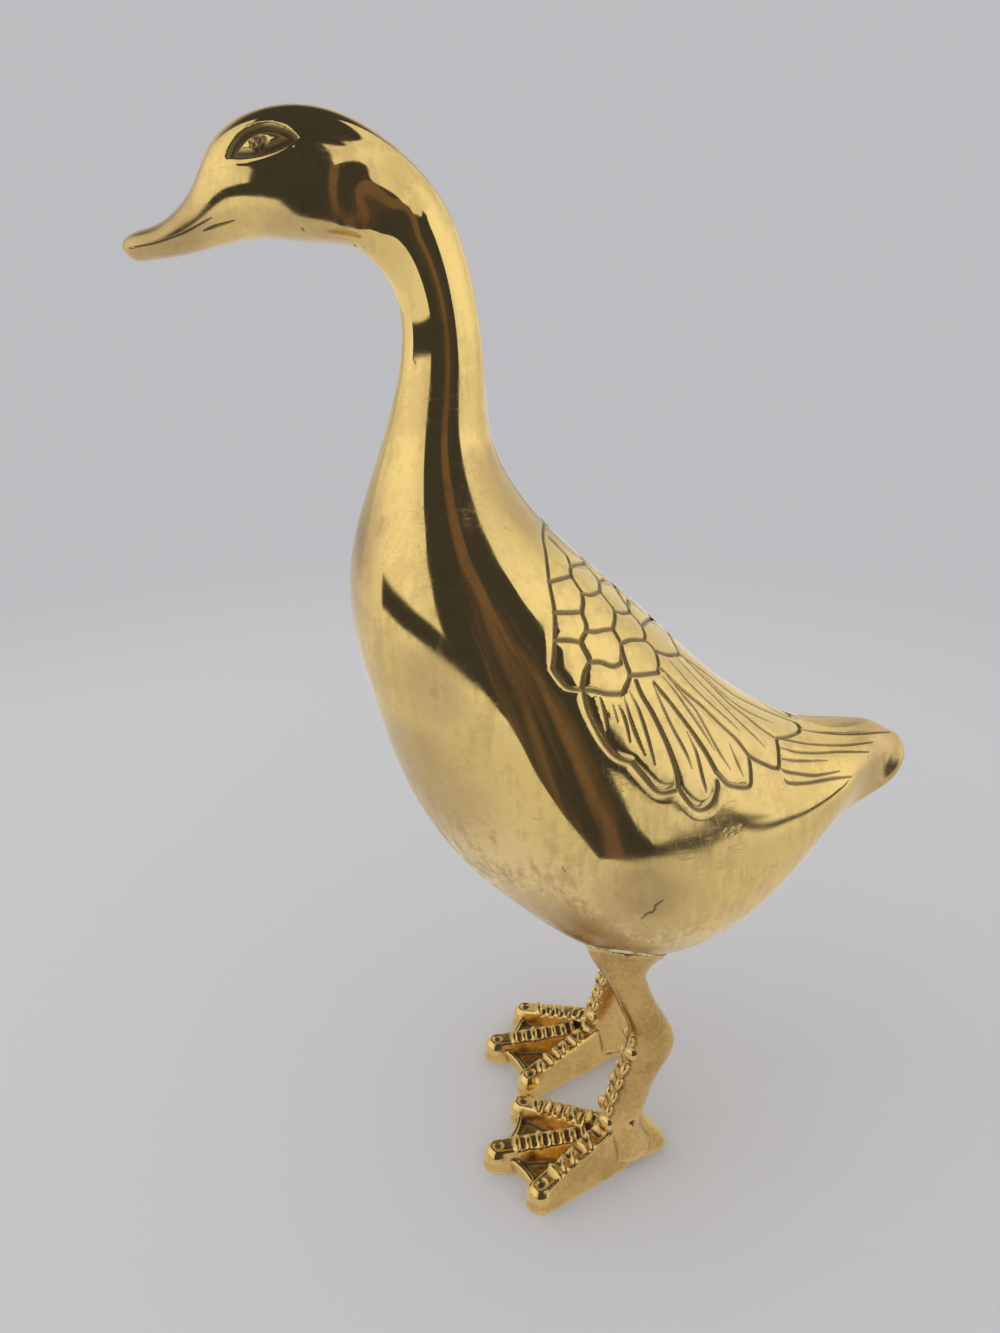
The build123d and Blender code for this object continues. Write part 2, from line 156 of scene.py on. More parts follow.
# Lines that the chaser cut, as pixels of the photograph. They are laid on the body along the line of sight.
WING_EDGE = [
    [(545, 521), (544, 535), (547, 554), (550, 580), (555, 610), (555, 636), (554, 654), (552, 669)],
    [(552, 669), (558, 678), (568, 688), (582, 690)],
]
SCALE_WALLS = [
    [(551, 537), (560, 546), (568, 555), (572, 565)],
    [(550, 581), (561, 578), (572, 575)],
    [(572, 565), (572, 573), (577, 582), (583, 591)],
    [(583, 591), (584, 602), (583, 612), (587, 623), (587, 631)],
    [(587, 631), (582, 642), (588, 655), (590, 662), (585, 673), (582, 690)],
    [(555, 612), (570, 612), (583, 611)],
    [(555, 640), (570, 640), (582, 642)],
    [(572, 565), (584, 563), (593, 571), (600, 580), (601, 590)],
    [(583, 592), (592, 594), (601, 590)],
    [(601, 590), (608, 599), (615, 609), (616, 619), (614, 628)],
    [(587, 630), (596, 631), (605, 629), (614, 628)],
    [(614, 628), (618, 635), (622, 643), (623, 653), (622, 663)],
    [(590, 662), (602, 662), (614, 666), (622, 663)],
    [(622, 643), (626, 660), (631, 675), (626, 688), (623, 694)],
    [(582, 690), (595, 691), (608, 694), (623, 694)],
    [(600, 580), (609, 579), (620, 593), (629, 606), (631, 611)],
    [(615, 609), (623, 612), (631, 611)],
    [(631, 611), (640, 621), (646, 632), (646, 639)],
    [(622, 643), (632, 639), (646, 639)],
    [(646, 639), (653, 645), (658, 654), (660, 665), (659, 672)],
    [(631, 675), (645, 674), (659, 672)],
    [(658, 650), (670, 654), (681, 653)],
    [(584, 563), (587, 557)],
    [(609, 579), (611, 575)],
    [(629, 606), (629, 595)],
    [(643, 625), (649, 619), (656, 618)],
    [(656, 618), (668, 632), (681, 653)],
]
FEATHER_EDGES = [
    [(584, 691), (588, 710), (597, 730), (607, 747), (618, 758), (632, 763)],
    [(632, 763), (642, 775), (655, 790), (665, 794), (677, 791)],
    [(637, 680), (643, 695), (653, 712), (663, 733), (670, 750), (677, 772), (679, 788)],
    [(679, 788), (686, 799), (694, 808), (703, 811), (713, 804), (718, 790), (718, 781)],
    [(655, 682), (670, 700), (685, 720), (697, 737), (708, 755), (717, 772)],
    [(717, 772), (725, 781), (732, 786), (750, 787), (752, 773), (750, 756)],
    [(663, 668), (683, 688), (703, 705), (720, 722), (737, 738), (750, 755)],
    [(750, 755), (760, 761), (778, 768), (780, 758), (779, 746), (777, 737)],
    [(688, 660), (713, 685), (730, 702), (747, 715), (762, 727), (777, 737)],
    [(777, 737), (790, 735), (800, 730), (797, 723), (786, 718)],
    [(681, 653), (706, 672), (732, 692), (760, 707), (786, 718)],
]
BARBS = [
    [(600, 697), (605, 715), (607, 730)],
    [(613, 704), (618, 723)],
    [(619, 705), (626, 722), (630, 743)],
    [(625, 697), (631, 720), (638, 740), (645, 756)],
    [(630, 690), (640, 712), (648, 738), (655, 766)],
    [(653, 682), (663, 705), (673, 727), (685, 750), (693, 769)],
    [(687, 730), (697, 753), (703, 778), (707, 793)],
    [(663, 675), (678, 693), (693, 715), (703, 730), (715, 750)],
    [(666, 673), (683, 693), (697, 710), (708, 730), (720, 752), (731, 769)],
    [(730, 743), (738, 762), (744, 776)],
    [(670, 660), (690, 682), (710, 702), (727, 717), (740, 730)],
    [(677, 657), (697, 678), (717, 698), (737, 718), (753, 733), (766, 747)],
    [(703, 673), (728, 697), (753, 713), (773, 722)],
]
TAIL_LINES = [
    [(801, 729), (816, 731), (838, 733), (860, 733), (890, 732)],
    [(777, 738), (789, 739), (804, 742), (827, 744), (849, 744), (873, 742)],
    [(781, 747), (797, 751), (816, 752), (838, 751), (869, 752)],
    [(781, 758), (797, 760), (827, 760)],
    [(780, 767), (786, 771), (797, 773), (816, 775), (840, 771)],
    [(785, 779), (790, 783), (807, 783), (831, 779), (852, 777)],
]
MOUTH_LINES = [
    [(134, 247), (155, 243), (173, 237), (186, 232), (199, 225), (211, 218)],
]
GAPE_LINES = [
    [(204, 231), (215, 227), (234, 221)],
]
FLAWS = [
    [(302, 229), (304, 232)],
    [(354, 245), (356, 247)],
    [(413, 360), (415, 364)],
    [(562, 868), (565, 872)],
    [(641, 920), (648, 914), (654, 912), (656, 906), (663, 901)],
    [(726, 831), (729, 834)],
    [(733, 829), (736, 833)],
    [(740, 826), (742, 829)],
]
Cut = namedtuple("Cut", "lines half_width end_share")

CUTS = [
    Cut(WING_EDGE, 0.50, 1.0),
    Cut(SCALE_WALLS, 0.62, 1.0),
    Cut(FEATHER_EDGES, 0.58, 1.0),
    Cut(BARBS, 0.40, 0.45),
    Cut(TAIL_LINES, 0.48, 0.5),
    Cut(MOUTH_LINES, 0.28, 0.6),
    Cut(GAPE_LINES, 0.42, 0.5),
    Cut(FLAWS, 0.34, 0.6),
]

# Chasing: a groove and its patina run out at shares of the cut's half width. Only cuts of some width have
# shoulders, and polishing waves, in turns to a metre, fade in away from the seam.
GROOVE_EDGE = 1.1
PATINA_EDGE = (0.35, 1.3)
PATINA_STRENGTH = 0.8
SHOULDER_WIDTH = (0.3 * MM, 0.6 * MM)
WAVE_FADE = (1.0 * MM, 8.0 * MM)
WAVES = 55.0

# Fineness in millimetres: steps along a laid line, how near a line the skin is divided once and twice, and a
# grid of marks that divide it at the eye.
LINE_STEP = 0.4
FINE_REACHES = (2.6, 1.3)
EYE_GRID = np.linspace(-9, 9, 13)
EYE_GRID_HEIGHT = 7

# Eye: an almond between two arcs, its corners as pixels of the photograph.
EYE_FRONT = (226, 157)
EYE_REAR = (298, 137)
EYE_CENTRE = (262, 147)

# Skin belongs to the eye where the cosine between its normal and the eye's is more than this.
EYE_FACING = 0.2

# Relief of the eye in millimetres inwards from the almond's edge: the groove's lip and floor, and the foot
# and top of the core. The lower lid is a ridge outside the edge. It fades in below the line between the
# corners and runs out at shares of the eye's length.
EYE_GROOVE = (-0.1, 0.4)
EYE_CORE = (0.8, 2.4)
LID_OUTSIDE = 0.7
LID_WIDTH = 0.6
LID_HEIGHT = 0.2
LID_FADE = (-1.0, 0.5)
LID_END = (0.36, 0.48)

# Grit of the worn iris: waves along and across the eye, in radians to a millimetre, and their phase.
IRIS_GRIT = [(4.1, 1.7, 0.0), (-2.3, 5.2, 1.3), (6.3, -3.9, 0.4)]

# Hollow behind the cheek, as a pixel of the photograph, its radius and its depth in millimetres.
NAPE_HOLLOW = (380, 193)
NAPE_RADIUS = 10.0
NAPE_DEPTH = 0.9

# Legs and toes in millimetres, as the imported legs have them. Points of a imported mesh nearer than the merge
# distance become one.
Leg = namedtuple("Leg", "node stance forward")
Toe = namedtuple("Toe", "length splay")

LEGS = [Leg("left_leg", -21.0, 1.2), Leg("right_leg", 18.0, -2.0)]
TOES = [Toe(29.6, 31), Toe(36.0, 0), Toe(31.8, -32)]
FOOT_X = 16.0
TOE_END = 4.2
KNOB_TOP = 6.6
MERGE_DISTANCE = 0.002

# Scutes in millimetres: a staggered row down each shank and a row along each toe, with a scute's half
# sizes along the row, across it and outwards. Claws are dents in the knobs, and a dent's floor is a share of
# its radius. Smoothing steps round the leg.
SHANK_TOP = 42
SHANK_FOOT = 14
SHANK_STAGGER = 4.6
SHANK_SCUTE = Vector((2.1, 2.1, 1.0))
RUNG_START = 8.5
RUNG_END = 7.5
RUNG_ABOVE = 28.0
RUNG_SCUTE = Vector((1.05, 2.8, 0.72))
SCUTE_REACH = 100
CLAW_RADIUS = 1.9
CLAW_DEPTH = 0.9
DENT_FLOOR = 0.3
LEG_ROUNDING = 8

# Beads of filler, in millimetres: a grid and smoothing steps round them, and they thin out from a share of
# their outline until they are sunk into the belly.
BEAD_GRID = 0.2
BEAD_ROUNDING = 6
BEAD_RIM = 0.84
BEAD_SINK = 0.1

# Haze: the polish dulls below a line that slopes along the body, in metres. Smudges, in millimetres, are
# dull places: centre, radius, and the strengths of their brown film and of their haze. Noise tears their
# edges by so many metres.
Smudge = namedtuple("Smudge", "x y z radius film haze")

HAZE_SLOPE = 0.62
HAZE_FULL = 0.088
HAZE_NONE = 0.114
HAZE_WANDER = 0.05
SMUDGE_CORE = 0.3
CLOUD_TEAR = 0.04
STREAK_TEAR = 0.014
FLECK_TEAR = 0.012
SMUDGES = [
    Smudge(-12, 7, 178, 19, 0.6, 0.5),  # foot of the neck
    Smudge(-80, 5, 230, 18, 0.6, 0.9),  # bill
    Smudge(-52, 8, 231, 13, 0.45, 0.5),  # jaw
    Smudge(-48, 0, 166, 24, 0.85, 0.6),  # front of the breast
    Smudge(-32, 28, 145, 13, 0.3, 0.5),  # side of the breast
    Smudge(-36, 22, 118, 24, 0.45, 0.7),  # foot of the breast
    Smudge(38, 33, 128, 36, 0.15, 0.35),  # wing
    Smudge(16, 35, 93, 17, 0.6, 0.8),  # flank
    Smudge(-2, 22, 76, 20, 0.55, 0.7),  # keel
    Smudge(84, 4, 109, 21, 0.4, 0.9),  # tail
    Smudge(10, 14, 60, 32, 0.9, 0.6),  # belly over the legs
]

# Noise that marks the metal and the stage, in turns to a metre, for each axis where they differ.
CLOUDS = 38.0
FLECKS = 420.0
BRUSHING = (300.0, 300.0, 1900.0)
STREAKS = (420.0, 420.0, 60.0)
WASHES = (45.0, 45.0, 24.0)
PATCHES = 75.0
RUBBING = (1500.0, 1500.0, 150.0)
WIPING = (150.0, 900.0, 1700.0)
SPECKS = 620.0
CAST_CLOUDS = 90.0
CAST_FLECKS = 900.0
FILLER_CLOUDS = 240.0
FILLER_GRAIN = 1500.0
WEAVE = 2600.0
PANEL_STREAKS = (38.0, 38.0, 3.0)
FLECK_ROUGHNESS = 0.65

# Where on the noise's scale of 0 to 1 a mark starts and where it is full.
MOTTLED = (0.46, 0.58)
WASHED = (0.47, 0.6)
PATCHED = (0.48, 0.62)
SCRATCHED = (0.57, 0.66)
SPECKLED = (0.52, 0.6)
BLOTCHED = (0.42, 0.66)
FLUXED = (0.42, 0.6)

# The legs are browner above the feet, from one height to another in metres.
BROWNER_UP_LEG = (0.014, 0.03)

# A speck ends between these distances from its middle, in cells. Fine relief only bends the light.
SPECK_EDGE = (0.08, 0.2)
BUMP_DEPTH = 0.2 * MM


def sight(pixel):
    """Way from the viewpoint through a pixel of the photograph."""
    across = (pixel[0] - IMAGE_WIDTH / 2) / FOCAL_PIXELS
    down = (pixel[1] - IMAGE_HEIGHT / 2) / FOCAL_PIXELS
    return (VIEW_RIGHT * across - VIEW_UP * down - VIEW_BACK).normalized()


def math_node(operation, swapped=False):
    """A method of Value that adds a Math node on it and another value."""

    def method(self, other=0.0):
        first, second = (other, self) if swapped else (self, other)
        tree = Tree(self.socket.id_data)
        return tree.node("ShaderNodeMath", operation=operation, Value=first, Value_001=second)

    return method


class Value:
    """A node's output that can stand in a sum: each operator adds a Math node to its tree."""

    __add__ = __radd__ = math_node("ADD")
    __sub__ = math_node("SUBTRACT")
    __rsub__ = math_node("SUBTRACT", swapped=True)
    __mul__ = math_node("MULTIPLY")
    __truediv__ = math_node("DIVIDE")
    __pow__ = math_node("POWER")
    __mod__ = math_node("MODULO")
    least = math_node("MINIMUM")
    most = math_node("MAXIMUM")
    size = math_node("ABSOLUTE")

    def __init__(self, socket):
        self.socket = socket

    def other(self, output):
        """Another output of the same node."""
        return Value(self.socket.node.outputs[output])


def feed(node, **sockets):
    """Links or sets a node's sockets, by their identifiers with underscores for spaces."""
    inputs = {socket.identifier.replace(" ", "_"): socket for socket in node.inputs}
    for name, value in sockets.items():
        if isinstance(value, Value):
            node.id_data.links.new(value.socket, inputs[name])
        else:
            inputs[name].default_value = value


class Tree:
    """A node tree that is written as calls."""

    def __init__(self, tree):
        self.tree = tree

    def node(self, kind, output=None, **given):
        """Adds a node and gives the wanted output.

        A name in small letters is one of its settings. The others are its sockets.
        """
        node = self.tree.nodes.new(kind)
        for name in [name for name in given if name.islower()]:
            setattr(node, name, given.pop(name))
        feed(node, **given)
        outputs = {socket.identifier: socket for socket in node.outputs}
        return Value(outputs[output] if output else node.outputs[0])

    def ramp(self, value, low, high):
        """0 below low, 1 above high, smooth between."""
        sockets = {"Value": value, "From_Min": low, "From_Max": high}
        return self.node("ShaderNodeMapRange", "Result", interpolation_type="SMOOTHSTEP", **sockets)

    def mix(self, share, first, second):
        """A colour between two colours."""
        first, second = (each if isinstance(each, Value) else (*each, 1) for each in (first, second))
        sockets = {"Factor_Float": share, "A_Color": first, "B_Color": second}
        return self.node("ShaderNodeMix", "Result_Color", data_type="RGBA", **sockets)

    def parts(self, place):
        """The three parts of a vector."""
        first = self.node("ShaderNodeSeparateXYZ", "X", Vector=place)
        return [Value(socket) for socket in first.socket.node.outputs]

    def place(self):
        """Coordinates in the object's own frame."""
        return self.node("ShaderNodeTexCoord", "Object")

    def mark(self, name):
        """A value that the mesh carries."""
        return self.node("ShaderNodeAttribute", "Fac", attribute_name=name)

    def noise(self, place, scale, detail, roughness=0.55):
        """Cloudy noise from 0 to 1, with one scale or one for each axis."""
        if isinstance(scale, tuple):
            place = self.node("ShaderNodeMapping", Vector=place, Scale=scale)
            scale = 1.0
        sockets = {"Vector": place, "Scale": scale, "Detail": detail, "Roughness": roughness}
        return self.node("ShaderNodeTexNoise", "Fac", **sockets)

    def bump(self, height, strength):
        """Normals of fine relief."""
        return self.node("ShaderNodeBump", Height=height, Strength=strength, Distance=BUMP_DEPTH)

    def vector(self, operation, first, second, output="Vector"):
        """A Vector Math node on two vectors."""
        sockets = {"Vector": first, "Vector_001": second}
        return self.node("ShaderNodeVectorMath", output, operation=operation, **sockets)

    def store(self, geometry, name, value):
        """A geometry whose points carry a named value."""
        sockets = {"Geometry": geometry, "Name": name, "Value": value}
        return self.node("GeometryNodeStoreNamedAttribute", data_type="FLOAT", domain="POINT", **sockets)

    def ray(self, target, start, way, reach):
        """Where rays meet a geometry."""
        rays = {"Source_Position": start, "Ray_Direction": way, "Ray_Length": reach}
        return self.node("GeometryNodeRaycast", "Hit Position", Target_Geometry=target, **rays)

    def raised(self, geometry, height):
        """A geometry whose points are moved along their normals."""
        normal = self.node("GeometryNodeInputNormal", "Normal")
        offset = self.node("ShaderNodeVectorMath", "Vector", operation="SCALE", Vector=normal, Scale=height)
        return self.node("GeometryNodeSetPosition", Geometry=geometry, Offset=offset)


def spline_bends(at, values):
    """Second derivatives of the natural cubic spline through values."""
    count = len(at)
    gaps = np.diff(at)
    slopes = np.diff(values, axis=0) / gaps[:, None]
    matrix = np.eye(count)
    wanted = np.zeros_like(values)
    for i in range(1, count - 1):
        matrix[i, i - 1 : i + 2] = gaps[i - 1], 2 * (gaps[i - 1] + gaps[i]), gaps[i]
        wanted[i] = 6 * (slopes[i] - slopes[i - 1])
    return np.linalg.solve(matrix, wanted)


class Skin:
    """The body's surface, smooth through its ribs, on the duck's left side.

    A point of it has a station, its distance along the body from the tip of the bill, and a turn, from 0
    at the back to pi at the keel.
    """

    TIP_ROUND = 0.9 * MM
    TIP_SHARE = 0.05

    def __init__(self, ribs):
        self.values = np.array(ribs) * np.array([MM, MM, MM, MM, MM, 1, 1])
        middles = (self.values[:, 0:2] + self.values[:, 2:4]) / 2
        steps = np.linalg.norm(np.diff(middles, axis=0), axis=1)
        self.stations = np.concatenate([[0], np.cumsum(steps)])
        self.bends = spline_bends(self.stations, self.values)
        self.length = self.stations[-1]

    def ribs_at(self, station):
        """Rib values at stations."""
        first = np.clip(np.searchsorted(self.stations, station) - 1, 0, len(self.stations) - 2)
        gap = (self.stations[first + 1] - self.stations[first])[:, None]
        after = (station - self.stations[first])[:, None] / gap
        before = 1 - after
        bend = (before**3 - before) * self.bends[first] + (after**3 - after) * self.bends[first + 1]
        return before * self.values[first] + after * self.values[first + 1] + bend * gap**2 / 6

    def points(self, station, turn, inset):
        """Points at stations and turns, drawn in by inset."""
        ribs = self.ribs_at(station)
        keel = ribs[:, 2:4]
        rise = ribs[:, 0:2] - keel
        height = np.linalg.norm(rise, axis=1)
        up = rise / height[:, None]
        end = np.minimum(station, self.length - station) / self.TIP_ROUND
        round_tip = np.sqrt(1 - (1 - np.clip(end, self.TIP_SHARE, 1)) ** 2)
        below = ribs[:, 5] * height
        reach = np.where(np.cos(turn) > 0, height - below, below) - inset
        power = np.where(np.cos(turn) < 0, 2 / ribs[:, 6], 1)
        level = below + reach * np.sign(np.cos(turn)) * np.abs(np.cos(turn)) ** power * round_tip
        half = (ribs[:, 4] - inset) * round_tip
        place = keel + up * level[:, None]
        return np.stack([place[:, 0], -half * np.abs(np.sin(turn)) ** power, place[:, 1]], axis=1)

    def seam_turn(self, station, seam, inset):
        """Turn at which the section is half a seam from the midline."""
        half = np.abs(self.points(station, np.full(len(station), math.pi / 2), inset)[:, 1])
        return np.arcsin(np.minimum(seam / 2 / half, 1))


def object_from(mesh, name):
    """A linked object with that mesh."""
    made = bpy.data.objects.new(name, mesh)
    bpy.context.scene.collection.objects.link(made)
    return made


def object_of_shape(shape, name):
    """A linked object with a copy of a bmesh."""
    mesh = bpy.data.meshes.new(name)
    shape.to_mesh(mesh)
    return object_from(mesh, name)


def modified_mesh(made):
    """A new mesh that is an object's mesh with its modifiers applied."""
    bpy.context.view_layer.update()
    evaluated = made.evaluated_get(bpy.context.evaluated_depsgraph_get())
    return bpy.data.meshes.new_from_object(evaluated)


def as_plain_mesh(made):
    """Turns an object's modifiers into its mesh and removes them."""
    mesh = modified_mesh(made)
    made.modifiers.clear()
    made.data = mesh
    mesh.name = made.name


def add_tree(made, tree, **inputs):
    """Gives an object a Geometry Nodes tree, with inputs by name, with underscores for spaces."""
    modifier = made.modifiers.new(tree.name, "NODES")
    modifier.node_group = tree
    for item in tree.interface.items_tree:
        name = item.name.replace(" ", "_")
        if item.in_out == "INPUT" and name in inputs:
            modifier[item.identifier] = inputs[name]


def new_tree(name, **inputs):
    """An empty Geometry Nodes tree with a geometry in and out, and the named inputs."""
    group = bpy.data.node_groups.new(name, "GeometryNodeTree")
    for label, kind in {"Geometry": "Geometry", **inputs}.items():
        group.interface.new_socket(label.replace("_", " "), in_out="INPUT", socket_type="NodeSocket" + kind)
    group.interface.new_socket("Geometry", in_out="OUTPUT", socket_type="NodeSocketGeometry")
    source = group.nodes.new("NodeGroupInput")
    given = {s.name.lower().replace(" ", "_"): Value(s) for s in source.outputs if s.name}
    return Tree(group), SimpleNamespace(**given)


def close_tree(tree, geometry):
    """Links the last geometry to the tree's output."""
    output = tree.tree.nodes.new("NodeGroupOutput")
    tree.tree.links.new(geometry.socket, output.inputs[0])
    return tree.tree


def close_dressed(tree, geometry, material):
    """Closes a tree with one real mesh of a material."""
    real = tree.node("GeometryNodeRealizeInstances", Geometry=geometry)
    return close_tree(tree, tree.node("GeometryNodeSetMaterial", Geometry=real, Material=material))


def lay_lines_tree():
    """Smooths drawn lines and lays them on a body along the line of sight."""
    tree, given = new_tree("Lay lines", Body="Object", Viewpoint="Vector", Step="Float", Reach="Float")
    smooth = tree.node("GeometryNodeCurveSplineType", spline_type="CATMULL_ROM", Curve=given.geometry)
    sampled = tree.node("GeometryNodeResampleCurve", mode="LENGTH", Curve=smooth, Length=given.step)
    sized = tree.store(sampled, "half_width", tree.node("GeometryNodeInputRadius"))
    body = tree.node("GeometryNodeObjectInfo", "Geometry", Object=given.body)
    way = tree.vector("SUBTRACT", tree.node("GeometryNodeInputPosition"), given.viewpoint)
    hit = tree.ray(body, given.viewpoint, way, given.reach)
    laid = tree.node("GeometryNodeSetPosition", Geometry=sized, Position=hit)
    return close_tree(tree, tree.node("GeometryNodeCurveToMesh", Curve=laid))


def chase_tree():
    """Cuts laid lines into a surface: a groove along each line, and soft shoulders beside it."""
    floats = ("Groove_Depth", "Shoulder_Reach", "Shoulder_Depth", "Wave_Scale", "Wave_Depth")
    tree, given = new_tree("Chase", Lines="Object", **dict.fromkeys(floats, "Float"), Material="Material")
    lines = tree.node("GeometryNodeObjectInfo", "Geometry", Object=given.lines)
    place = tree.node("GeometryNodeInputPosition")
    distance = tree.node("GeometryNodeProximity", "Distance", target_element="EDGES", Target=lines)
    nearest = tree.node("GeometryNodeSampleNearest", Geometry=lines, Sample_Position=place)
    width = tree.node("GeometryNodeInputNamedAttribute", "Attribute", Name="half_width")
    half = tree.node("GeometryNodeSampleIndex", Geometry=lines, Value=width, Index=nearest)
    across = distance / half
    groove = (1 - tree.ramp(across, 0.0, GROOVE_EDGE)) * half * given.groove_depth
    shoulder = (1 - tree.ramp(distance, 0.0, given.shoulder_reach)) * given.shoulder_depth
    off_seam = tree.ramp(tree.parts(place)[1].size(), *WAVE_FADE)
    wave = tree.noise(place, given.wave_scale, 1.0) * given.wave_depth * off_seam
    cut = groove + shoulder * tree.ramp(half, *SHOULDER_WIDTH) + wave
    before = tree.node("GeometryNodeInputNamedAttribute", "Attribute", Name="patina")
    patina = ((1 - tree.ramp(across, *PATINA_EDGE)) * PATINA_STRENGTH).most(before)
    aged = tree.store(given.geometry, "patina", patina)
    return close_dressed(tree, tree.raised(aged, 0 - cut), given.material)


def drawn_lines():
    """Curve object with every chased line, drawn where its line of sight is about at the body."""
    curve = bpy.data.curves.new("drawn_lines", "CURVE")
    curve.dimensions = "3D"
    for cut in CUTS:
        for line in cut.lines:
            spline = curve.splines.new("POLY")
            spline.points.add(len(line) - 1)
            for index, pixel in enumerate(line):
                place = VIEWPOINT + sight(pixel) * VIEW_DISTANCE
                at_end = index in (0, len(line) - 1)
                spline.points[index].co = (*place, 1)
                spline.points[index].radius = cut.half_width * MM * (cut.end_share if at_end else 1)
    return object_from(curve, "drawn_lines")


class HalfBody:
    """Mesh of the duck's left half casting: outer skin, seam face and hollow."""

    TIP_RINGS = np.array([0, 0.03, 0.1, 0.22, 0.42, 0.7]) * MM
    ON_RIM = 0.999
    SHARP = math.radians(50)

    def __init__(self, settings):
        self.settings = settings
        self.skin = Skin(RIBS)
        self.mesh = bmesh.new()
        layers = self.mesh.verts.layers.float
        self.station = layers.new("station")
        self.turn = layers.new("turn")
        self.inset = layers.new("inset")
        self.rim = layers.new("rim")
        self.make_base()

    def ring_stations(self):
        """Stations of the rings, closer together at the tips."""
        inner = np.linspace(Skin.TIP_ROUND, self.skin.length - Skin.TIP_ROUND, self.settings.rings)
        return np.concatenate([self.TIP_RINGS, inner, (self.skin.length - self.TIP_RINGS)[::-1]])

    def grid(self, stations, around, inset):
        """Rows of vertices, from the back's seam edge to the keel's."""
        first = self.skin.seam_turn(stations, self.settings.seam, inset)
        rows = []
        for station, start in zip(stations, first):
            row = []
            for index in range(around + 1):
                vertex = self.mesh.verts.new()
                vertex[self.station] = station
                vertex[self.turn] = start + (math.pi - 2 * start) * index / around
                vertex[self.inset] = inset
                vertex[self.rim] = float(index in (0, around))
                row.append(vertex)
            rows.append(row)
        return rows

    def skin_faces(self, rows, flip):
        """Quads between rows of vertices."""
        for row, following in zip(rows, rows[1:]):
            for j in range(len(row) - 1):
                corners = [row[j], following[j], following[j + 1], row[j + 1]]
                self.mesh.faces.new(corners[::-1] if flip else corners)

    def make_base(self):
        """Closed half shell, before its fine faces."""
        stations = self.ring_stations()
        hollow_from = self.skin.stations[FIRST_HOLLOW_RIB]
        hollow_to = self.skin.stations[LAST_HOLLOW_RIB]
        inside = [i for i, at in enumerate(stations) if hollow_from <= at <= hollow_to]
        outer = self.grid(stations, self.settings.around, 0.0)
        inner = self.grid(stations[inside], self.settings.around_inside, self.settings.wall)
        self.skin_faces(outer, False)
        self.skin_faces(inner, True)
        for ends, flip in ((outer[0], True), (outer[-1], False), (inner[0], False), (inner[-1], True)):
            self.mesh.faces.new(ends[::-1] if flip else ends)
        first, last = inside[0], inside[-1]
        for i in range(len(stations) - 1):
            here, there = outer[i], outer[i + 1]
            if first <= i < last:
                cut, following = inner[i - first], inner[i - first + 1]
                self.mesh.faces.new([here[0], cut[0], following[0], there[0]])
                self.mesh.faces.new([there[-1], following[-1], cut[-1], here[-1]])
                continue
            loop = [here[0], here[-1], there[-1], there[0]]
            if i + 1 == first:
                loop = [here[0], here[-1], there[-1], inner[0][-1], inner[0][0], there[0]]
            if i == last:
                loop = [here[0], inner[-1][0], inner[-1][-1], here[-1], there[-1], there[0]]
            self.mesh.faces.new(loop)
        self.place()

    def place(self):
        """Puts every vertex where its station and turn say."""
        vertices = list(self.mesh.verts)
        read = lambda layer: np.array([vertex[layer] for vertex in vertices])
        places = self.skin.points(read(self.station), read(self.turn), read(self.inset))
        places[read(self.rim) > self.ON_RIM, 1] = -self.settings.seam / 2
        for vertex, place in zip(vertices, places):
            vertex.co = place

    def refine(self, marks, reaches):
        """Divides the skin's faces near marks, once for each reach."""
        tree = kdtree.KDTree(len(marks))
        for index, mark in enumerate(marks):
            tree.insert(mark, index)
        tree.balance()
        for reach in reaches:
            edges = set()
            for face in self.mesh.faces:
                if face.verts[0][self.inset] or tree.find(face.calc_center_median())[2] > reach:
                    continue
                edges.update(face.edges)
            bmesh.ops.subdivide_edges(self.mesh, edges=list(edges), cuts=1, use_grid_fill=True)
            self.place()

    def to_object(self, name):
        """Object with the mesh, smooth but for the seam's edges."""
        bmesh.ops.recalc_face_normals(self.mesh, faces=self.mesh.faces)
        for face in self.mesh.faces:
            face.smooth = True
        for edge in self.mesh.edges:
            edge.smooth = edge.calc_face_angle(0) < self.SHARP
        return object_of_shape(self.mesh, name)


def smooth_step(value, low, high):
    """0 below low, 1 above high, smooth between."""
    share = np.clip((value - low) / (high - low), 0, 1)
    return share**2 * (3 - 2 * share)


def mesh_arrays(mesh):
    """Places and normals of a mesh's vertices."""
    places = np.empty(len(mesh.vertices) * 3, np.float32)
    mesh.vertices.foreach_get("co", places)
    normals = np.empty(len(mesh.vertices) * 3, np.float32)
    mesh.vertices.foreach_get("normal", normals)
    return places.reshape(-1, 3).astype(float), normals.reshape(-1, 3).astype(float)


def move_vertices(mesh, places):
    """Puts a mesh's vertices at new places."""
    mesh.vertices.foreach_set("co", places.astype(np.float32).ravel())
    mesh.update()


def eye_plane(made):
    """Places of a mesh's vertices along and up the eye, which of them are near it, and its length."""
    hits = [made.ray_cast(VIEWPOINT, sight(pixel)) for pixel in (EYE_FRONT, EYE_REAR, EYE_CENTRE)]
    if not all(hit[0] for hit in hits):
        raise RuntimeError("the eye misses the head")
    front, rear = hits[0][1], hits[1][1]
    normal = hits[2][2]
    along = rear - front
    length = along.length
    along = (along - normal * along.dot(normal)).normalized()
    up = normal.cross(along)
    if up.z < 0:
        up = -up
    places, normals = mesh_arrays(made.data)
    offset = places - np.array((front + rear) / 2)
    level = np.stack([offset @ np.array(along), offset @ np.array(up)], axis=1)
    near = (np.linalg.norm(offset, axis=1) < length) & (normals @ np.array(normal) > EYE_FACING)
    return level, near, length


